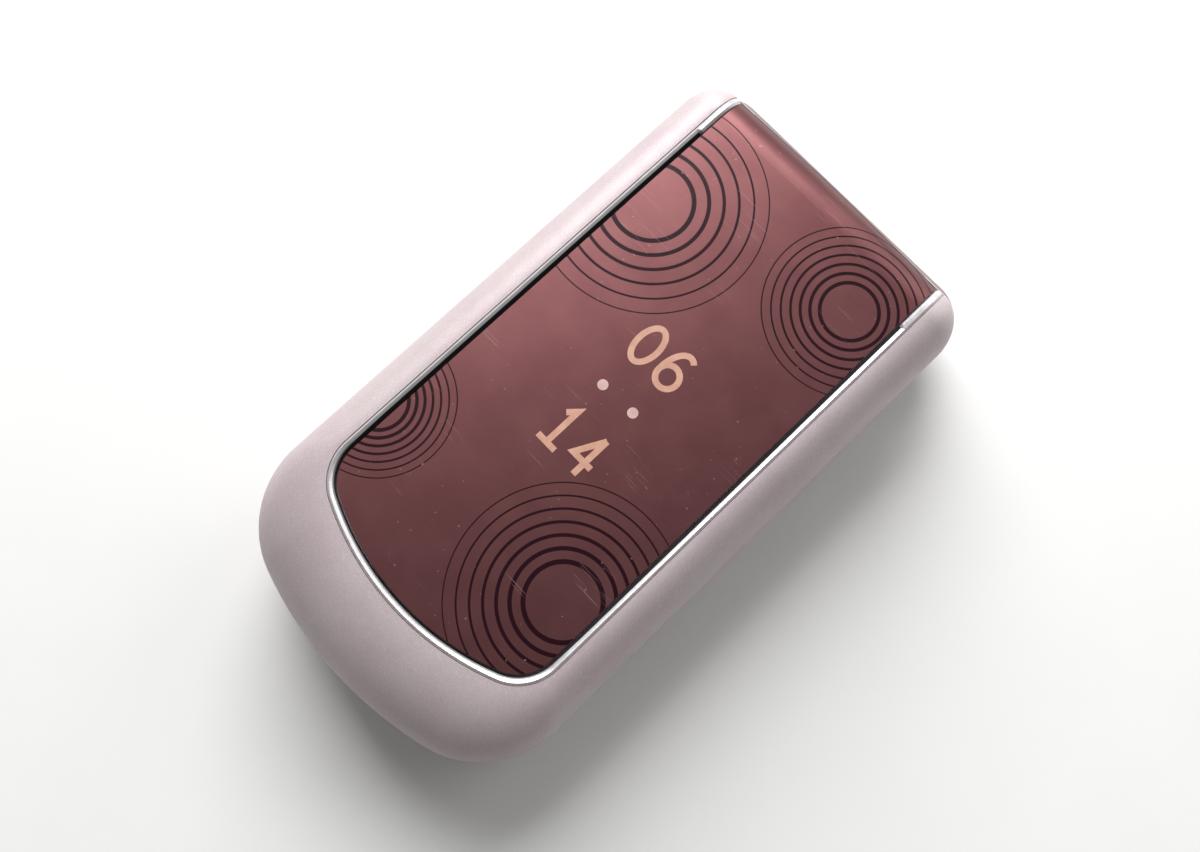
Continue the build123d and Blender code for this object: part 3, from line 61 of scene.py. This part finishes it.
# Camera: where it stands, what it looks at, and which way is up in its picture
IMAGE_WIDTH = 1200
FOCAL_PIXELS = 1100
SENSOR_WIDTH = 36.0
CAMERA_PLACE = (18.25, -22.46, 151.99)
CAMERA_TARGET = (-0.08, -0.71, 10.0)
CAMERA_UP = (-0.712, 0.6744, 0.1953)

# Rings printed under the window: centre, first radius, step, count, and the width
# of the first and of the last line
RING_GROUPS = [
    ((-15.4, 22.9), 5.35, 1.93, 6, 0.62, 0.16),
    ((12.15, 30.7), 3.77, 1.23, 7, 0.50, 0.17),
    ((13.57, -20.1), 4.76, 1.59, 7, 0.62, 0.17),
    ((-19.68, -19.7), 3.60, 0.99, 7, 0.50, 0.16),
]
LINE_SOFTNESS = 0.04

# The window: half width, bow of its free end, its corners, and how much its middle
# stands above its sides
WINDOW_HALF = 17.55
BOW_RADIUS = 36.0
BOW_CENTRE = (0.0, 2.1)
CORNER_RADIUS = 5.5
CORNER_CENTRE = (12.05, -25.92)
CROWN = 0.35

# The trim carries painted shade, a dark band next to the window standing in for its shadowed
# groove:
# this far out at the free end and at the sides, changing between these two Y. It slopes down to the
# window by this width and depth.
GROOVE_SHADE_WIDTHS = (0.35, 0.55)
GROOVE_SHADE_CHANGE = (-30.0, -20.0)
SLOPE_WIDTH = 1.1
SLOPE_DEPTH = 0.6

# Hinge's axis, as Y and Z, and where the painted shade along the window's end starts round it
HINGE_AXIS = (37.6, 14.0)
END_SHADE_ANGLE = 47.0

# Clock on the outer display: stroke width, digit half sizes and places
STROKE = 0.8
DIGIT_X = 1.5
DIGIT_Y = 2.7
DIGIT_GAP = 2.28
HOURS_PLACE = (0.2, 9.2)
MINUTES_PLACE = (0.4, -5.65)
DOT_PLACES = [(-2.3, 1.6), (2.8, 1.8)]
DOT_RADIUS = 0.7

# Prints lie this far over the face that carries them, and each further stroke of a
# print this far over the one before, so that no two faces meet
PRINT_LIFT = 0.012
STROKE_LAYER = 0.004

# Numbers on the keys, as a share of the clock's digits, and their stroke width
MARK_SCALE = 0.58
MARK_STROKE = 0.5

# Signs on the keys: soft keys' dash, handsets, and arrows on the navigation ring, which
# start and end this far from the select key's edge
DASH_HALF = 1.7
DASH_STROKE = 0.45
HANDSET_SCALE = 0.8
HANDSET_STROKE = 0.6
ARROW_HALF = 0.75
ARROW_REACH = (1.3, 2.1)
ARROW_STROKE = 0.3

# Ring and pupil seen in the camera's window, as shares of its radius
CAMERA_RING = (0.6, 0.72)
CAMERA_PUPIL = 0.3

# Table's half size and its drop below the phone, strength of the world's light, and
# each lamp's place, size and power
FLOOR_HALF = 450
FLOOR_DROP = 0.02
WORLD_STRENGTH = 0.2
KEY_LAMP = ((-490, 410, 460), 640, 10.8)
FILL_LAMP = ((200, 640, 330), 560, 1.6)


# Material helpers


class Paint:
    """A material in the making: its node tree, its shader and short calls for nodes."""

    def __init__(self, name, color, roughness, metallic=0.0, **sockets):
        self.material = bpy.data.materials.new(name)
        self.material.use_nodes = True
        self.tree = self.material.node_tree
        self.shader = self.tree.nodes["Principled BSDF"]
        self.set("Base Color", (*color, 1.0))
        self.set("Roughness", roughness)
        self.set("Metallic", metallic)
        for label, value in sockets.items():
            self.set(label.replace("_", " "), value)
        coordinates = self.node("ShaderNodeTexCoord").outputs["Object"]
        scale = self.node("ShaderNodeVectorMath", [coordinates], operation="SCALE")
        scale.inputs["Scale"].default_value = 1 / MM
        self.place = scale.outputs["Vector"]

    def set(self, label, value):
        """Gives a socket of the shader a value, or joins it to another node's output."""
        self.fill(self.shader.inputs[label], value)

    def fill(self, socket, value):
        """Joins a socket to another node's output, or gives it a value."""
        if isinstance(value, bpy.types.NodeSocket):
            self.tree.links.new(value, socket)
        else:
            socket.default_value = value

    def node(self, kind, values=(), **settings):
        """New node with these settings, its first inputs filled in order."""
        made = self.tree.nodes.new(kind)
        for label, value in settings.items():
            setattr(made, label, value)
        for socket, value in zip(made.inputs, values):
            self.fill(socket, value)
        return made

    def math(self, operation, *values):
        """Result of a maths node."""
        return self.node("ShaderNodeMath", values, operation=operation).outputs[0]

    def stretched(self, stretch, turn=0.0):
        """Place in millimetres, turned about Z and drawn out, for streaky patterns."""
        mapping = self.node("ShaderNodeMapping", [self.place])
        mapping.inputs["Rotation"].default_value = (0, 0, radians(turn))
        mapping.inputs["Scale"].default_value = stretch
        return mapping.outputs[0]

    def noise(self, scale, detail=2.0, place=None):
        """Noise with about scale features to the millimetre."""
        made = self.node("ShaderNodeTexNoise")
        self.fill(made.inputs["Vector"], place or self.place)
        made.inputs["Scale"].default_value = scale
        made.inputs["Detail"].default_value = detail
        return made.outputs["Fac"]

    def range(self, value, low, high, to_low, to_high):
        """Smooth step from one range to another."""
        made = self.node("ShaderNodeMapRange", interpolation_type="SMOOTHSTEP")
        for label, number in (
            ("Value", value),
            ("From Min", low),
            ("From Max", high),
            ("To Min", to_low),
            ("To Max", to_high),
        ):
            self.fill(made.inputs[label], number)
        return made.outputs["Result"]

    def mix(self, factor, first, second):
        """Colour between two others."""
        made = self.node("ShaderNodeMix", data_type="RGBA")
        self.fill(made.inputs["Factor"], factor)
        for label, color in (("A", first), ("B", second)):
            socket = [item for item in color_sockets(made.inputs) if item.name == label][0]
            self.fill(socket, (*color, 1.0) if isinstance(color, tuple) else color)
        return color_sockets(made.outputs)[0]

    def bump(self, height, strength, distance):
        """Relief of that depth in millimetres."""
        made = self.node("ShaderNodeBump")
        made.inputs["Strength"].default_value = strength
        made.inputs["Distance"].default_value = distance * MM
        self.fill(made.inputs["Height"], height)
        self.set("Normal", made.outputs["Normal"])

    def scratches(self, turns, fineness, threshold):
        """Mask of thin straight scratches in a few directions."""
        mask = None
        for turn in turns:
            streak = self.noise(1.0, 0.0, self.stretched((0.12, fineness, 1.0), turn))
            line = self.range(streak, threshold, threshold + 0.02, 0.0, 1.0)
            mask = line if mask is None else self.math("MAXIMUM", mask, line)
        return mask


def color_sockets(sockets):
    """A mix node has sockets of all types. These are the ones for colour."""
    return [item for item in sockets if item.type == "RGBA"]


def linear(red, green, blue):
    """Colour of a screen value, 0 to 255, as the shader wants it."""
    return tuple((value / 255) ** 2.2 for value in (red, green, blue))


# Materials


def pearl_paint():
    """Satin pink-silver paint with a fine metallic flake."""
    light = linear(192, 179, 181)
    dark = linear(188, 173, 176)
    paint = Paint("pearl_paint", light, 0.5, 0.22, Specular_IOR_Level=0.25)
    cloud = paint.range(paint.noise(0.12, 3.0), 0.35, 0.65, 0.0, 1.0)
    color = paint.mix(cloud, light, dark)
    flake = paint.noise(7.0, 1.0)
    color = paint.mix(paint.range(flake, 0.55, 0.72, 0.0, 0.35), color, linear(228, 216, 216))
    color = paint.mix(paint.range(flake, 0.45, 0.3, 0.0, 0.22), color, linear(158, 140, 146))
    paint.set("Base Color", color)
    paint.set("Roughness", paint.range(paint.noise(0.5, 3.0), 0.3, 0.7, 0.48, 0.53))
    paint.bump(flake, 0.12, 0.02)
    return paint.material


def ring_mask(paint, group):
    """1 on the lines of a group of concentric rings, which thin outwards."""
    centre, first, step, count, width_first, width_last = group
    flat = paint.node("ShaderNodeVectorMath", [paint.place, (1.0, 1.0, 0.0)], operation="MULTIPLY")
    distance = paint.node(
        "ShaderNodeVectorMath", [flat.outputs[0], (*centre, 0.0)], operation="DISTANCE"
    ).outputs["Value"]
    turns = paint.math("DIVIDE", paint.math("SUBTRACT", distance, first), step)
    index = paint.math("MAXIMUM", paint.math("ROUND", turns), 0.0)
    index = paint.math("MINIMUM", index, count - 1.0)
    away = paint.math("ABSOLUTE", paint.math("SUBTRACT", turns, index))
    away = paint.math("MULTIPLY", away, step)
    thinning = (width_last - width_first) / (count - 1) / 2
    half = paint.math("MULTIPLY_ADD", index, thinning, width_first / 2)
    inside = paint.math("SUBTRACT", half, away)
    return paint.range(inside, -LINE_SOFTNESS, LINE_SOFTNESS, 0.0, 1.0)


def hinge_border(paint):
    """1 on the painted shade along the window's end, where it turns away round the hinge."""
    split = paint.node("ShaderNodeSeparateXYZ", [paint.place]).outputs
    ahead = paint.math("SUBTRACT", split["Y"], HINGE_AXIS[0])
    above = paint.math("SUBTRACT", split["Z"], HINGE_AXIS[1])
    angle = paint.math("ARCTAN2", ahead, above)
    ragged = paint.math("MULTIPLY_ADD", paint.noise(1.6, 2.0), 0.05, angle)
    return paint.range(ragged, radians(END_SHADE_ANGLE), radians(END_SHADE_ANGLE + 1), 0.0, 1.0)


def window_plastic():
    """Plum window: a pearly print with dark rings under clear polished plastic."""
    plum = linear(120, 78, 79)
    sheen = dict(Coat_Weight=0.25, Coat_Roughness=0.3, Specular_IOR_Level=0.1)
    paint = Paint("window_plastic", plum, 0.42, 0.9, **sheen)
    mottle = paint.range(paint.noise(0.18, 4.0), 0.3, 0.7, 0.0, 1.0)
    color = paint.mix(mottle, plum, linear(113, 72, 74))
    mask = None
    for group in RING_GROUPS:
        one = ring_mask(paint, group)
        mask = one if mask is None else paint.math("MAXIMUM", mask, one)
    color = paint.mix(mask, color, linear(38, 2, 20))
    # Painted shade: the window's end is darkened where it turns away round the hinge.
    end_shade = hinge_border(paint)
    color = paint.mix(end_shade, color, linear(40, 16, 22))
    paint.set("Metallic", paint.range(paint.math("MAXIMUM", mask, end_shade), 0.0, 1.0, 0.9, 0.0))
    worn = paint.range(paint.noise(0.11, 1.0), 0.55, 0.66, 0.0, 1.0)
    scratch = paint.math("MULTIPLY", paint.scratches((12, -38, 71), 9.0, 0.8), worn)
    speck = paint.range(paint.noise(2.2, 0.0), 0.83, 0.87, 0.0, 1.0)
    mark = paint.math("MAXIMUM", scratch, speck)
    color = paint.mix(paint.math("MULTIPLY", mark, 0.3), color, linear(190, 160, 160))
    paint.set("Base Color", color)
    paint.set("Roughness", paint.range(mark, 0.0, 1.0, 0.42, 0.6))
    return paint.material


def window_distance(paint):
    """How far a place lies outside the window's outline, seen from above."""
    split = paint.node("ShaderNodeSeparateXYZ", [paint.place]).outputs
    aside = paint.math("ABSOLUTE", split["X"])
    flat = paint.node("ShaderNodeCombineXYZ", [aside, split["Y"]]).outputs[0]
    away = []
    for centre in (BOW_CENTRE, CORNER_CENTRE):
        node = paint.node("ShaderNodeVectorMath", [flat, (*centre, 0.0)], operation="DISTANCE")
        away.append(node.outputs["Value"])
    side = paint.math("SUBTRACT", aside, WINDOW_HALF)
    plain = paint.math("MAXIMUM", side, paint.math("SUBTRACT", away[0], BOW_RADIUS))
    corner = paint.math("SUBTRACT", away[1], CORNER_RADIUS)
    x = paint.math("SUBTRACT", aside, CORNER_CENTRE[0])
    y = paint.math("SUBTRACT", split["Y"], CORNER_CENTRE[1])
    slope = (BOW_CENTRE[1] - CORNER_CENTRE[1]) / CORNER_CENTRE[0]
    beyond = paint.math("GREATER_THAN", paint.math("MULTIPLY_ADD", x, slope, y), 0.0)
    inside = paint.math("MULTIPLY", beyond, paint.math("LESS_THAN", y, 0.0))
    difference = paint.math("SUBTRACT", corner, plain)
    return paint.math("MULTIPLY_ADD", inside, difference, plain)


def trim_metal():
    """Bright strip that slopes down into a groove next to the window, with painted shade as a dark
    band along the groove.
    """
    paint = Paint("trim_metal", (0.72, 0.71, 0.71), 0.34, 0.55)
    cloud = paint.range(paint.noise(0.4, 3.0), 0.35, 0.65, 0.0, 1.0)
    color = paint.mix(cloud, linear(222, 219, 220), linear(212, 208, 210))
    edge = window_distance(paint)
    height = paint.node("ShaderNodeSeparateXYZ", [paint.place]).outputs["Y"]
    width = paint.range(height, *GROOVE_SHADE_CHANGE, *GROOVE_SHADE_WIDTHS)
    # Painted shade: a dark band along the window's edge, where the groove lies in shadow.
    inner = paint.range(paint.math("SUBTRACT", edge, width), 0.0, 0.05, 1.0, 0.0)
    color = paint.mix(inner, color, linear(70, 67, 73))
    paint.set("Base Color", color)
    paint.set("Roughness", paint.range(paint.noise(2.4, 2.0), 0.3, 0.7, 0.29, 0.39))
    paint.bump(paint.range(edge, 0.0, SLOPE_WIDTH, 0.0, 1.0), 1.0, SLOPE_DEPTH)
    return paint.material


def plain_finish(name, first, second, scale, roughness, metallic=0.0, depth=0.01, **sockets):
    """Two close colours clouded together, with uneven gloss and a light relief."""
    paint = Paint(name, first, roughness, metallic, **sockets)
    cloud = paint.noise(scale, 3.0)
    paint.set("Base Color", paint.mix(paint.range(cloud, 0.35, 0.65, 0.0, 1.0), first, second))
    fine = paint.noise(6 * scale, 2.0)
    paint.set("Roughness", paint.range(fine, 0.3, 0.7, 0.85 * roughness, 1.15 * roughness))
    paint.bump(fine, 0.3, depth)
    return paint.material


def make_materials():
    """One material for each slot of the record."""
    glass = dict(Coat_Weight=1.0, Coat_Roughness=0.03)
    dull = dict(Specular_IOR_Level=0.3)
    return {
        "pearl_paint": pearl_paint(),
        "window_plastic": window_plastic(),
        "trim_metal": trim_metal(),
        "inner_plastic": plain_finish(
            "inner_plastic", linear(128, 108, 112), linear(118, 98, 102), 0.8, 0.5, 0.1, 0.02
        ),
        "lens_glass": plain_finish(
            "lens_glass", linear(12, 12, 14), linear(18, 17, 20), 0.1, 0.08, 0.0, 0.001, **glass
        ),
        "display_black": plain_finish(
            "display_black", linear(8, 8, 10), linear(14, 14, 18), 0.5, 0.2, 0.0, 0.002
        ),
        "board_green": plain_finish(
            "board_green", linear(30, 84, 50), linear(22, 66, 40), 0.9, 0.4, 0.0, 0.02
        ),
        "module_black": plain_finish(
            "module_black", linear(30, 30, 32), linear(40, 40, 42), 1.2, 0.5, 0.0, 0.02
        ),
        "soft_rubber": plain_finish(
            "soft_rubber", linear(52, 46, 48), linear(62, 56, 58), 1.5, 0.75, 0.0, 0.03
        ),
        "bright_steel": plain_finish(
            "bright_steel", linear(186, 186, 188), linear(160, 160, 164), 0.9, 0.3, 1.0, 0.005
        ),
        "socket_black": plain_finish(
            "socket_black", linear(26, 26, 28), linear(38, 38, 40), 1.0, 0.45, 0.0, 0.01
        ),
        "flex_amber": plain_finish(
            "flex_amber", linear(186, 120, 48), linear(160, 96, 40), 0.8, 0.35, 0.0, 0.01
        ),
        "battery_wrap": plain_finish(
            "battery_wrap", linear(58, 58, 62), linear(70, 70, 74), 0.4, 0.45, 0.0, 0.01
        ),
        "gold_plate": plain_finish(
            "gold_plate", linear(214, 170, 92), linear(196, 150, 76), 1.5, 0.25, 1.0, 0.005
        ),
        "card_white": plain_finish(
            "card_white", linear(222, 222, 216), linear(208, 208, 202), 0.7, 0.5, 0.0, 0.01
        ),
        "key_plastic": plain_finish(
            "key_plastic", linear(92, 66, 76), linear(84, 59, 69), 0.6, 0.45, 0.0, 0.01, **dull
        ),
    }


def dress_nodes(materials):
    """Gives every CAD node the material of its slot."""
    for entry in frame["record"]["subparts"]:
        slots = nodes[entry["node"]].material_slots
        slots[0].material = materials[entry["material_slot"]]


# Pieces


def new_piece(name, vertices, faces, material, body):
    """Mesh object from points in millimetres, riding on a body."""
    mesh = bpy.data.meshes.new(name)
    mesh.from_pydata([Vector(point) * MM for point in vertices], [], faces)
    mesh.update()
    piece = bpy.data.objects.new(name, mesh)
    bpy.context.scene.collection.objects.link(piece)
    piece.data.materials.append(material)
    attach(piece, body)


def arc_points(x, y, radius_x, radius_y, start, end, steps):
    """Points of an ellipse's arc, angles in degrees."""
    points = []
    for index in range(steps + 1):
        angle = radians(start + (end - start) * index / steps)
        points.append((x + radius_x * cos(angle), y + radius_y * sin(angle)))
    return points


def ribbon(path, closed, width, height_at):
    """Flat band of even width along a path; returns its points and faces."""
    count = len(path)
    points = []
    for index, (x, y) in enumerate(path):
        before = path[index - 1] if closed or index else path[index]
        after = path[(index + 1) % count] if closed or index < count - 1 else path[index]
        ahead = Vector((after[0] - x, after[1] - y))
        behind = Vector((x - before[0], y - before[1]))
        ahead = ahead.normalized() if ahead.length else behind.normalized()
        behind = behind.normalized() if behind.length else ahead
        along = (ahead + behind).normalized()
        side = Vector((-along.y, along.x)) * width / 2 / max(along.dot(ahead), 0.35)
        for sign in (1, -1):
            u = x + sign * side.x
            v = y + sign * side.y
            points.append((u, v, height_at(u, v)))
    faces = []
    for index in range(count if closed else count - 1):
        a = 2 * index
        b = 2 * ((index + 1) % count)
        faces.append((a, a + 1, b + 1, b))
    return points, faces


def turned(path, angle):
    """Points of a path turned about the origin, in degrees."""
    c = cos(radians(angle))
    d = sin(radians(angle))
    return [(c * x - d * y, d * x + c * y) for x, y in path]


def ring_stroke(x, y, radius_x, radius_y):
    """Closed oval, as a stroke."""
    return (arc_points(x, y, radius_x, radius_y, 0, 351, 39), True)


def six_strokes():
    """Bowl of the 6, and the stem that rises from its left side."""
    bowl = DIGIT_Y * 0.58
    low = bowl - DIGIT_Y
    stem = arc_points(0.35, low + 0.35, DIGIT_X + 0.35, 2 * DIGIT_Y - bowl - 0.35, 180, 62, 18)
    return [ring_stroke(0, low, DIGIT_X, bowl), (stem, False)]


def three_strokes():
    """The two open bowls of the 3, as one line."""
    upper = DIGIT_Y * 0.47
    lower = DIGIT_Y - upper
    top = arc_points(0, DIGIT_Y - upper, 0.95 * DIGIT_X, upper, 150, -90, 20)
    return [(top + arc_points(0, lower - DIGIT_Y, DIGIT_X, lower, 90, -150, 22)[1:], False)]


def five_strokes():
    """Flag, stem and bowl of the 5, as one line."""
    bowl = 0.63 * DIGIT_Y
    arc = arc_points(-0.05, bowl - DIGIT_Y, 1.05 * DIGIT_X, bowl, 130, -150, 24)
    return [([(0.9 * DIGIT_X, DIGIT_Y), (-0.8 * DIGIT_X, DIGIT_Y)] + arc, False)]


def character_strokes(character):
    """Lines of a digit, star or hash as (points, closed), centred on the origin."""
    x = DIGIT_X
    y = DIGIT_Y
    if character == "9":
        return [(turned(path, 180), closed) for path, closed in six_strokes()]
    if character == "*":
        spoke = [(-1.45 * x, 0), (1.45 * x, 0)]
        return [(turned(spoke, angle), False) for angle in (30, 90, 150)]
    if character == "#":
        bars = [([(-1.2 * x, side), (1.2 * x, side)], False) for side in (-0.75, 0.75)]
        posts = [([(side - 0.25, -0.7 * y), (side + 0.25, 0.7 * y)], False) for side in (-0.6, 0.6)]
        return bars + posts
    return {
        "0": [ring_stroke(0, 0, x, y)],
        "1": [([(-1.0, y - 1.1), (0, y), (0, -y)], False), ([(-x, -y), (x, -y)], False)],
        "2": [(arc_points(0, y - x, x, x, 170, -35, 20) + [(-x, -y), (x, -y)], False)],
        "3": three_strokes(),
        "4": [
            ([(0.55, y), (-0.95 * x, -0.42 * y), (1.1 * x, -0.42 * y)], False),
            ([(0.55, -y - STROKE / 2), (0.55, y)], False),
        ],
        "5": five_strokes(),
        "6": six_strokes(),
        "7": [([(-x, y), (x, y), (-0.3, -y)], False)],
        "8": [ring_stroke(0, 0.55 * y, 0.9 * x, 0.45 * y), ring_stroke(0, -0.45 * y, x, 0.55 * y)],
    }[character]


# Stage


def look_at(place, target, up):
    """Matrix of a camera or lamp at place that looks at target."""
    backward = (Vector(place) - Vector(target)).normalized()
    right = Vector(up).cross(backward).normalized()
    upward = backward.cross(right)
    matrix = Matrix((right, upward, backward)).transposed().to_4x4()
    matrix.translation = Vector(place) * MM
    return matrix


def make_camera():
    """The photo's view."""
    data = bpy.data.cameras.new("camera")
    data.sensor_width = SENSOR_WIDTH
    data.sensor_fit = "HORIZONTAL"
    data.lens = FOCAL_PIXELS / IMAGE_WIDTH * SENSOR_WIDTH
    data.clip_start = 10 * MM
    camera = bpy.data.objects.new("camera", data)
    camera.matrix_world = look_at(CAMERA_PLACE, CAMERA_TARGET, CAMERA_UP)
    bpy.context.scene.collection.objects.link(camera)
    bpy.context.scene.camera = camera


def area_lamp(name, place, size, power):
    """Square white lamp that looks at the origin."""
    data = bpy.data.lights.new(name, "AREA")
    data.shape = "SQUARE"
    data.size = size * MM
    data.energy = power
    lamp = bpy.data.objects.new(name, data)
    lamp.matrix_world = look_at(place, (0, 0, 0), (0, 1, 0))
    bpy.context.scene.collection.objects.link(lamp)


def make_world(strength):
    """Even light of that strength, with a white backdrop."""
    world = bpy.data.worlds.new("world")
    world.use_nodes = True
    tree = world.node_tree
    back = tree.nodes["Background"]
    back.inputs["Color"].default_value = (1.0, 1.0, 1.0, 1.0)
    path = tree.nodes.new("ShaderNodeLightPath")
    seen = tree.nodes.new("ShaderNodeMapRange")
    seen.inputs["To Min"].default_value = strength
    seen.inputs["To Max"].default_value = 1.0
    tree.links.new(path.outputs["Is Camera Ray"], seen.inputs["Value"])
    tree.links.new(seen.outputs["Result"], back.inputs["Strength"])
    bpy.context.scene.world = world


def make_floor():
    """Pale table under the phone."""
    half = FLOOR_HALF
    corners = [(-half, -half, 0), (half, -half, 0), (half, half, 0), (-half, half, 0)]
    mesh = bpy.data.meshes.new("floor")
    mesh.from_pydata([Vector(corner) * MM for corner in corners], [], [(0, 1, 2, 3)])
    floor = bpy.data.objects.new("floor", mesh)
    floor.location.z = cad_box[0].z - FLOOR_DROP * MM
    bpy.context.scene.collection.objects.link(floor)
    paint = plain_finish("floor", (0.88, 0.88, 0.865), (0.87, 0.87, 0.855), 0.05, 0.8)
    floor.data.materials.append(paint)


# Prints

WINDOW_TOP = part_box("lid_window")[1].z / MM
CROWN_RADIUS = (WINDOW_HALF ** 2 + CROWN ** 2) / (2 * CROWN)


def window_height(x, y):
    """Height just over the window's face, which is crowned across and straight along."""
    return WINDOW_TOP - CROWN_RADIUS + sqrt(CROWN_RADIUS ** 2 - x ** 2) + PRINT_LIFT


def place_strokes(name, strokes, place, scale, width, height_at, material, body):
    """One piece made of bands that follow the strokes."""
    vertices = []
    faces = []
    for layer, (path, closed) in enumerate(strokes):
        moved = [(scale * u + place[0], scale * v + place[1]) for u, v in path]
        points, quads = ribbon(moved, closed, width, height_at)
        faces += [tuple(index + len(vertices) for index in quad) for quad in quads]
        vertices += [(u, v, height + STROKE_LAYER * layer) for u, v, height in points]
    new_piece(name, vertices, faces, material, body)


def place_disc(name, x, y, radius, height_at, material, body, inner=0.0, steps=24):
    """Flat disc, or a ring when it has an inner radius."""
    rim = arc_points(x, y, radius, radius, 0, 360 - 360 / steps, steps - 1)
    faces = [tuple(range(steps))]
    if inner:
        rim += arc_points(x, y, inner, inner, 0, 360 - 360 / steps, steps - 1)
        afters = [(index + 1) % steps for index in range(steps)]
        faces = [(index, after, after + steps, index + steps) for index, after in enumerate(afters)]
    points = [(u, v, height_at(u, v)) for u, v in rim]
    new_piece(name, points, faces, material, body)


def make_clock():
    """Lit hours and minutes, with two dots between them."""
    gloss = dict(Coat_Weight=0.6, Coat_Roughness=0.3)
    lit = plain_finish(
        "lit_segments", linear(205, 156, 134), linear(194, 142, 120), 0.6, 0.5, 0.0, 0.001, **gloss
    )
    pale = plain_finish(
        "lit_dots", linear(208, 176, 168), linear(196, 160, 152), 0.6, 0.5, 0.0, 0.001, **gloss
    )
    for group, middle, characters in (
        ("hours", HOURS_PLACE, "06"),
        ("minutes", MINUTES_PLACE, "14"),
    ):
        for index, character in enumerate(characters):
            name = f"{group}_digit_{index}"
            place = (middle[0] + (2 * index - 1) * DIGIT_GAP, middle[1])
            strokes = character_strokes(character)
            place_strokes(name, strokes, place, 1.0, STROKE, window_height, lit, "lid")
    for index, (x, y) in enumerate(DOT_PLACES):
        place_disc(f"clock_dot_{index}", x, y, DOT_RADIUS, window_height, pale, "lid")


def key_top(node):
    """Middle of a key's upper face, and a flat height just over it."""
    low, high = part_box(node)
    middle = (low + high) / 2 / MM
    level = high.z / MM + PRINT_LIFT
    return (middle.x, middle.y), lambda x, y: level


def handset_strokes(angle):
    """Outline icon of a telephone's handset."""
    grip = arc_points(0, -1.6, 2.2, 2.2, 35, 145, 14)
    ends = [([(1.5, -0.6), (2.3, 0.15)], False), ([(-1.5, -0.6), (-2.3, 0.15)], False)]
    return [(turned(path, angle), closed) for path, closed in [(grip, False)] + ends]


def make_key_marks():
    """Numbers and plain signs printed on the keys."""
    print_finish = dict(scale=1.0, roughness=0.5, depth=0.001)
    ink = plain_finish("key_ink", linear(232, 222, 222), linear(224, 212, 212), **print_finish)
    green = plain_finish("green_ink", linear(70, 190, 100), linear(62, 178, 92), **print_finish)
    red = plain_finish("red_ink", linear(214, 60, 60), linear(202, 52, 54), **print_finish)
    named = {"key_star": "*", "key_hash": "#"}
    named.update({f"key_{digit}": str(digit) for digit in range(10)})
    for node, character in named.items():
        place, level = key_top(node)
        strokes = character_strokes(character)
        place_strokes(f"{node}_mark", strokes, place, MARK_SCALE, MARK_STROKE, level, ink, node)
    dash = [([(-DASH_HALF, 0), (DASH_HALF, 0)], False)]
    for node in ("left_soft_key", "right_soft_key"):
        place, level = key_top(node)
        place_strokes(f"{node}_mark", dash, place, 1.0, DASH_STROKE, level, ink, node)
    for node, angle, color in (("call_key", 45, green), ("end_key", 0, red)):
        name = f"{node}_mark"
        strokes = handset_strokes(angle)
        place, level = key_top(node)
        place_strokes(name, strokes, place, HANDSET_SCALE, HANDSET_STROKE, level, color, node)
    place, level = key_top("nav_ring")
    low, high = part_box("select_key")
    reach = (high - low) / 2 / MM
    marks = []
    for angle, edge in ((0, reach.y), (90, reach.x), (180, reach.y), (270, reach.x)):
        foot, tip = (edge + distance for distance in ARROW_REACH)
        arrow = [(-ARROW_HALF, foot), (0, tip), (ARROW_HALF, foot)]
        marks.append((turned(arrow, angle), False))
    place_strokes("nav_ring_marks", marks, place, 1.0, ARROW_STROKE, level, ink, "nav_ring")


def make_camera_marks(materials):
    """Bright ring and dark pupil seen in the camera's window."""
    low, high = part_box("camera_window")
    x, y = ((low + high) / 2 / MM).to_tuple()[:2]
    radius = (high.x - low.x) / 2 / MM
    inner, outer = (share * radius for share in CAMERA_RING)
    pupil = CAMERA_PUPIL * radius
    height = low.z / MM - PRINT_LIFT
    steel = materials["bright_steel"]
    black = materials["display_black"]
    place_disc("camera_ring", x, y, outer, lambda u, v: height, steel, "base", inner, 48)
    place_disc("camera_pupil", x, y, pupil, lambda u, v: height, black, "base")


# The model

materials = make_materials()
dress_nodes(materials)
make_clock()
make_key_marks()
make_camera_marks(materials)

make_camera()
make_floor()
make_world(WORLD_STRENGTH)
area_lamp("key_lamp", *KEY_LAMP)
area_lamp("fill_lamp", *FILL_LAMP)
bpy.context.scene.view_settings.view_transform = "Standard"
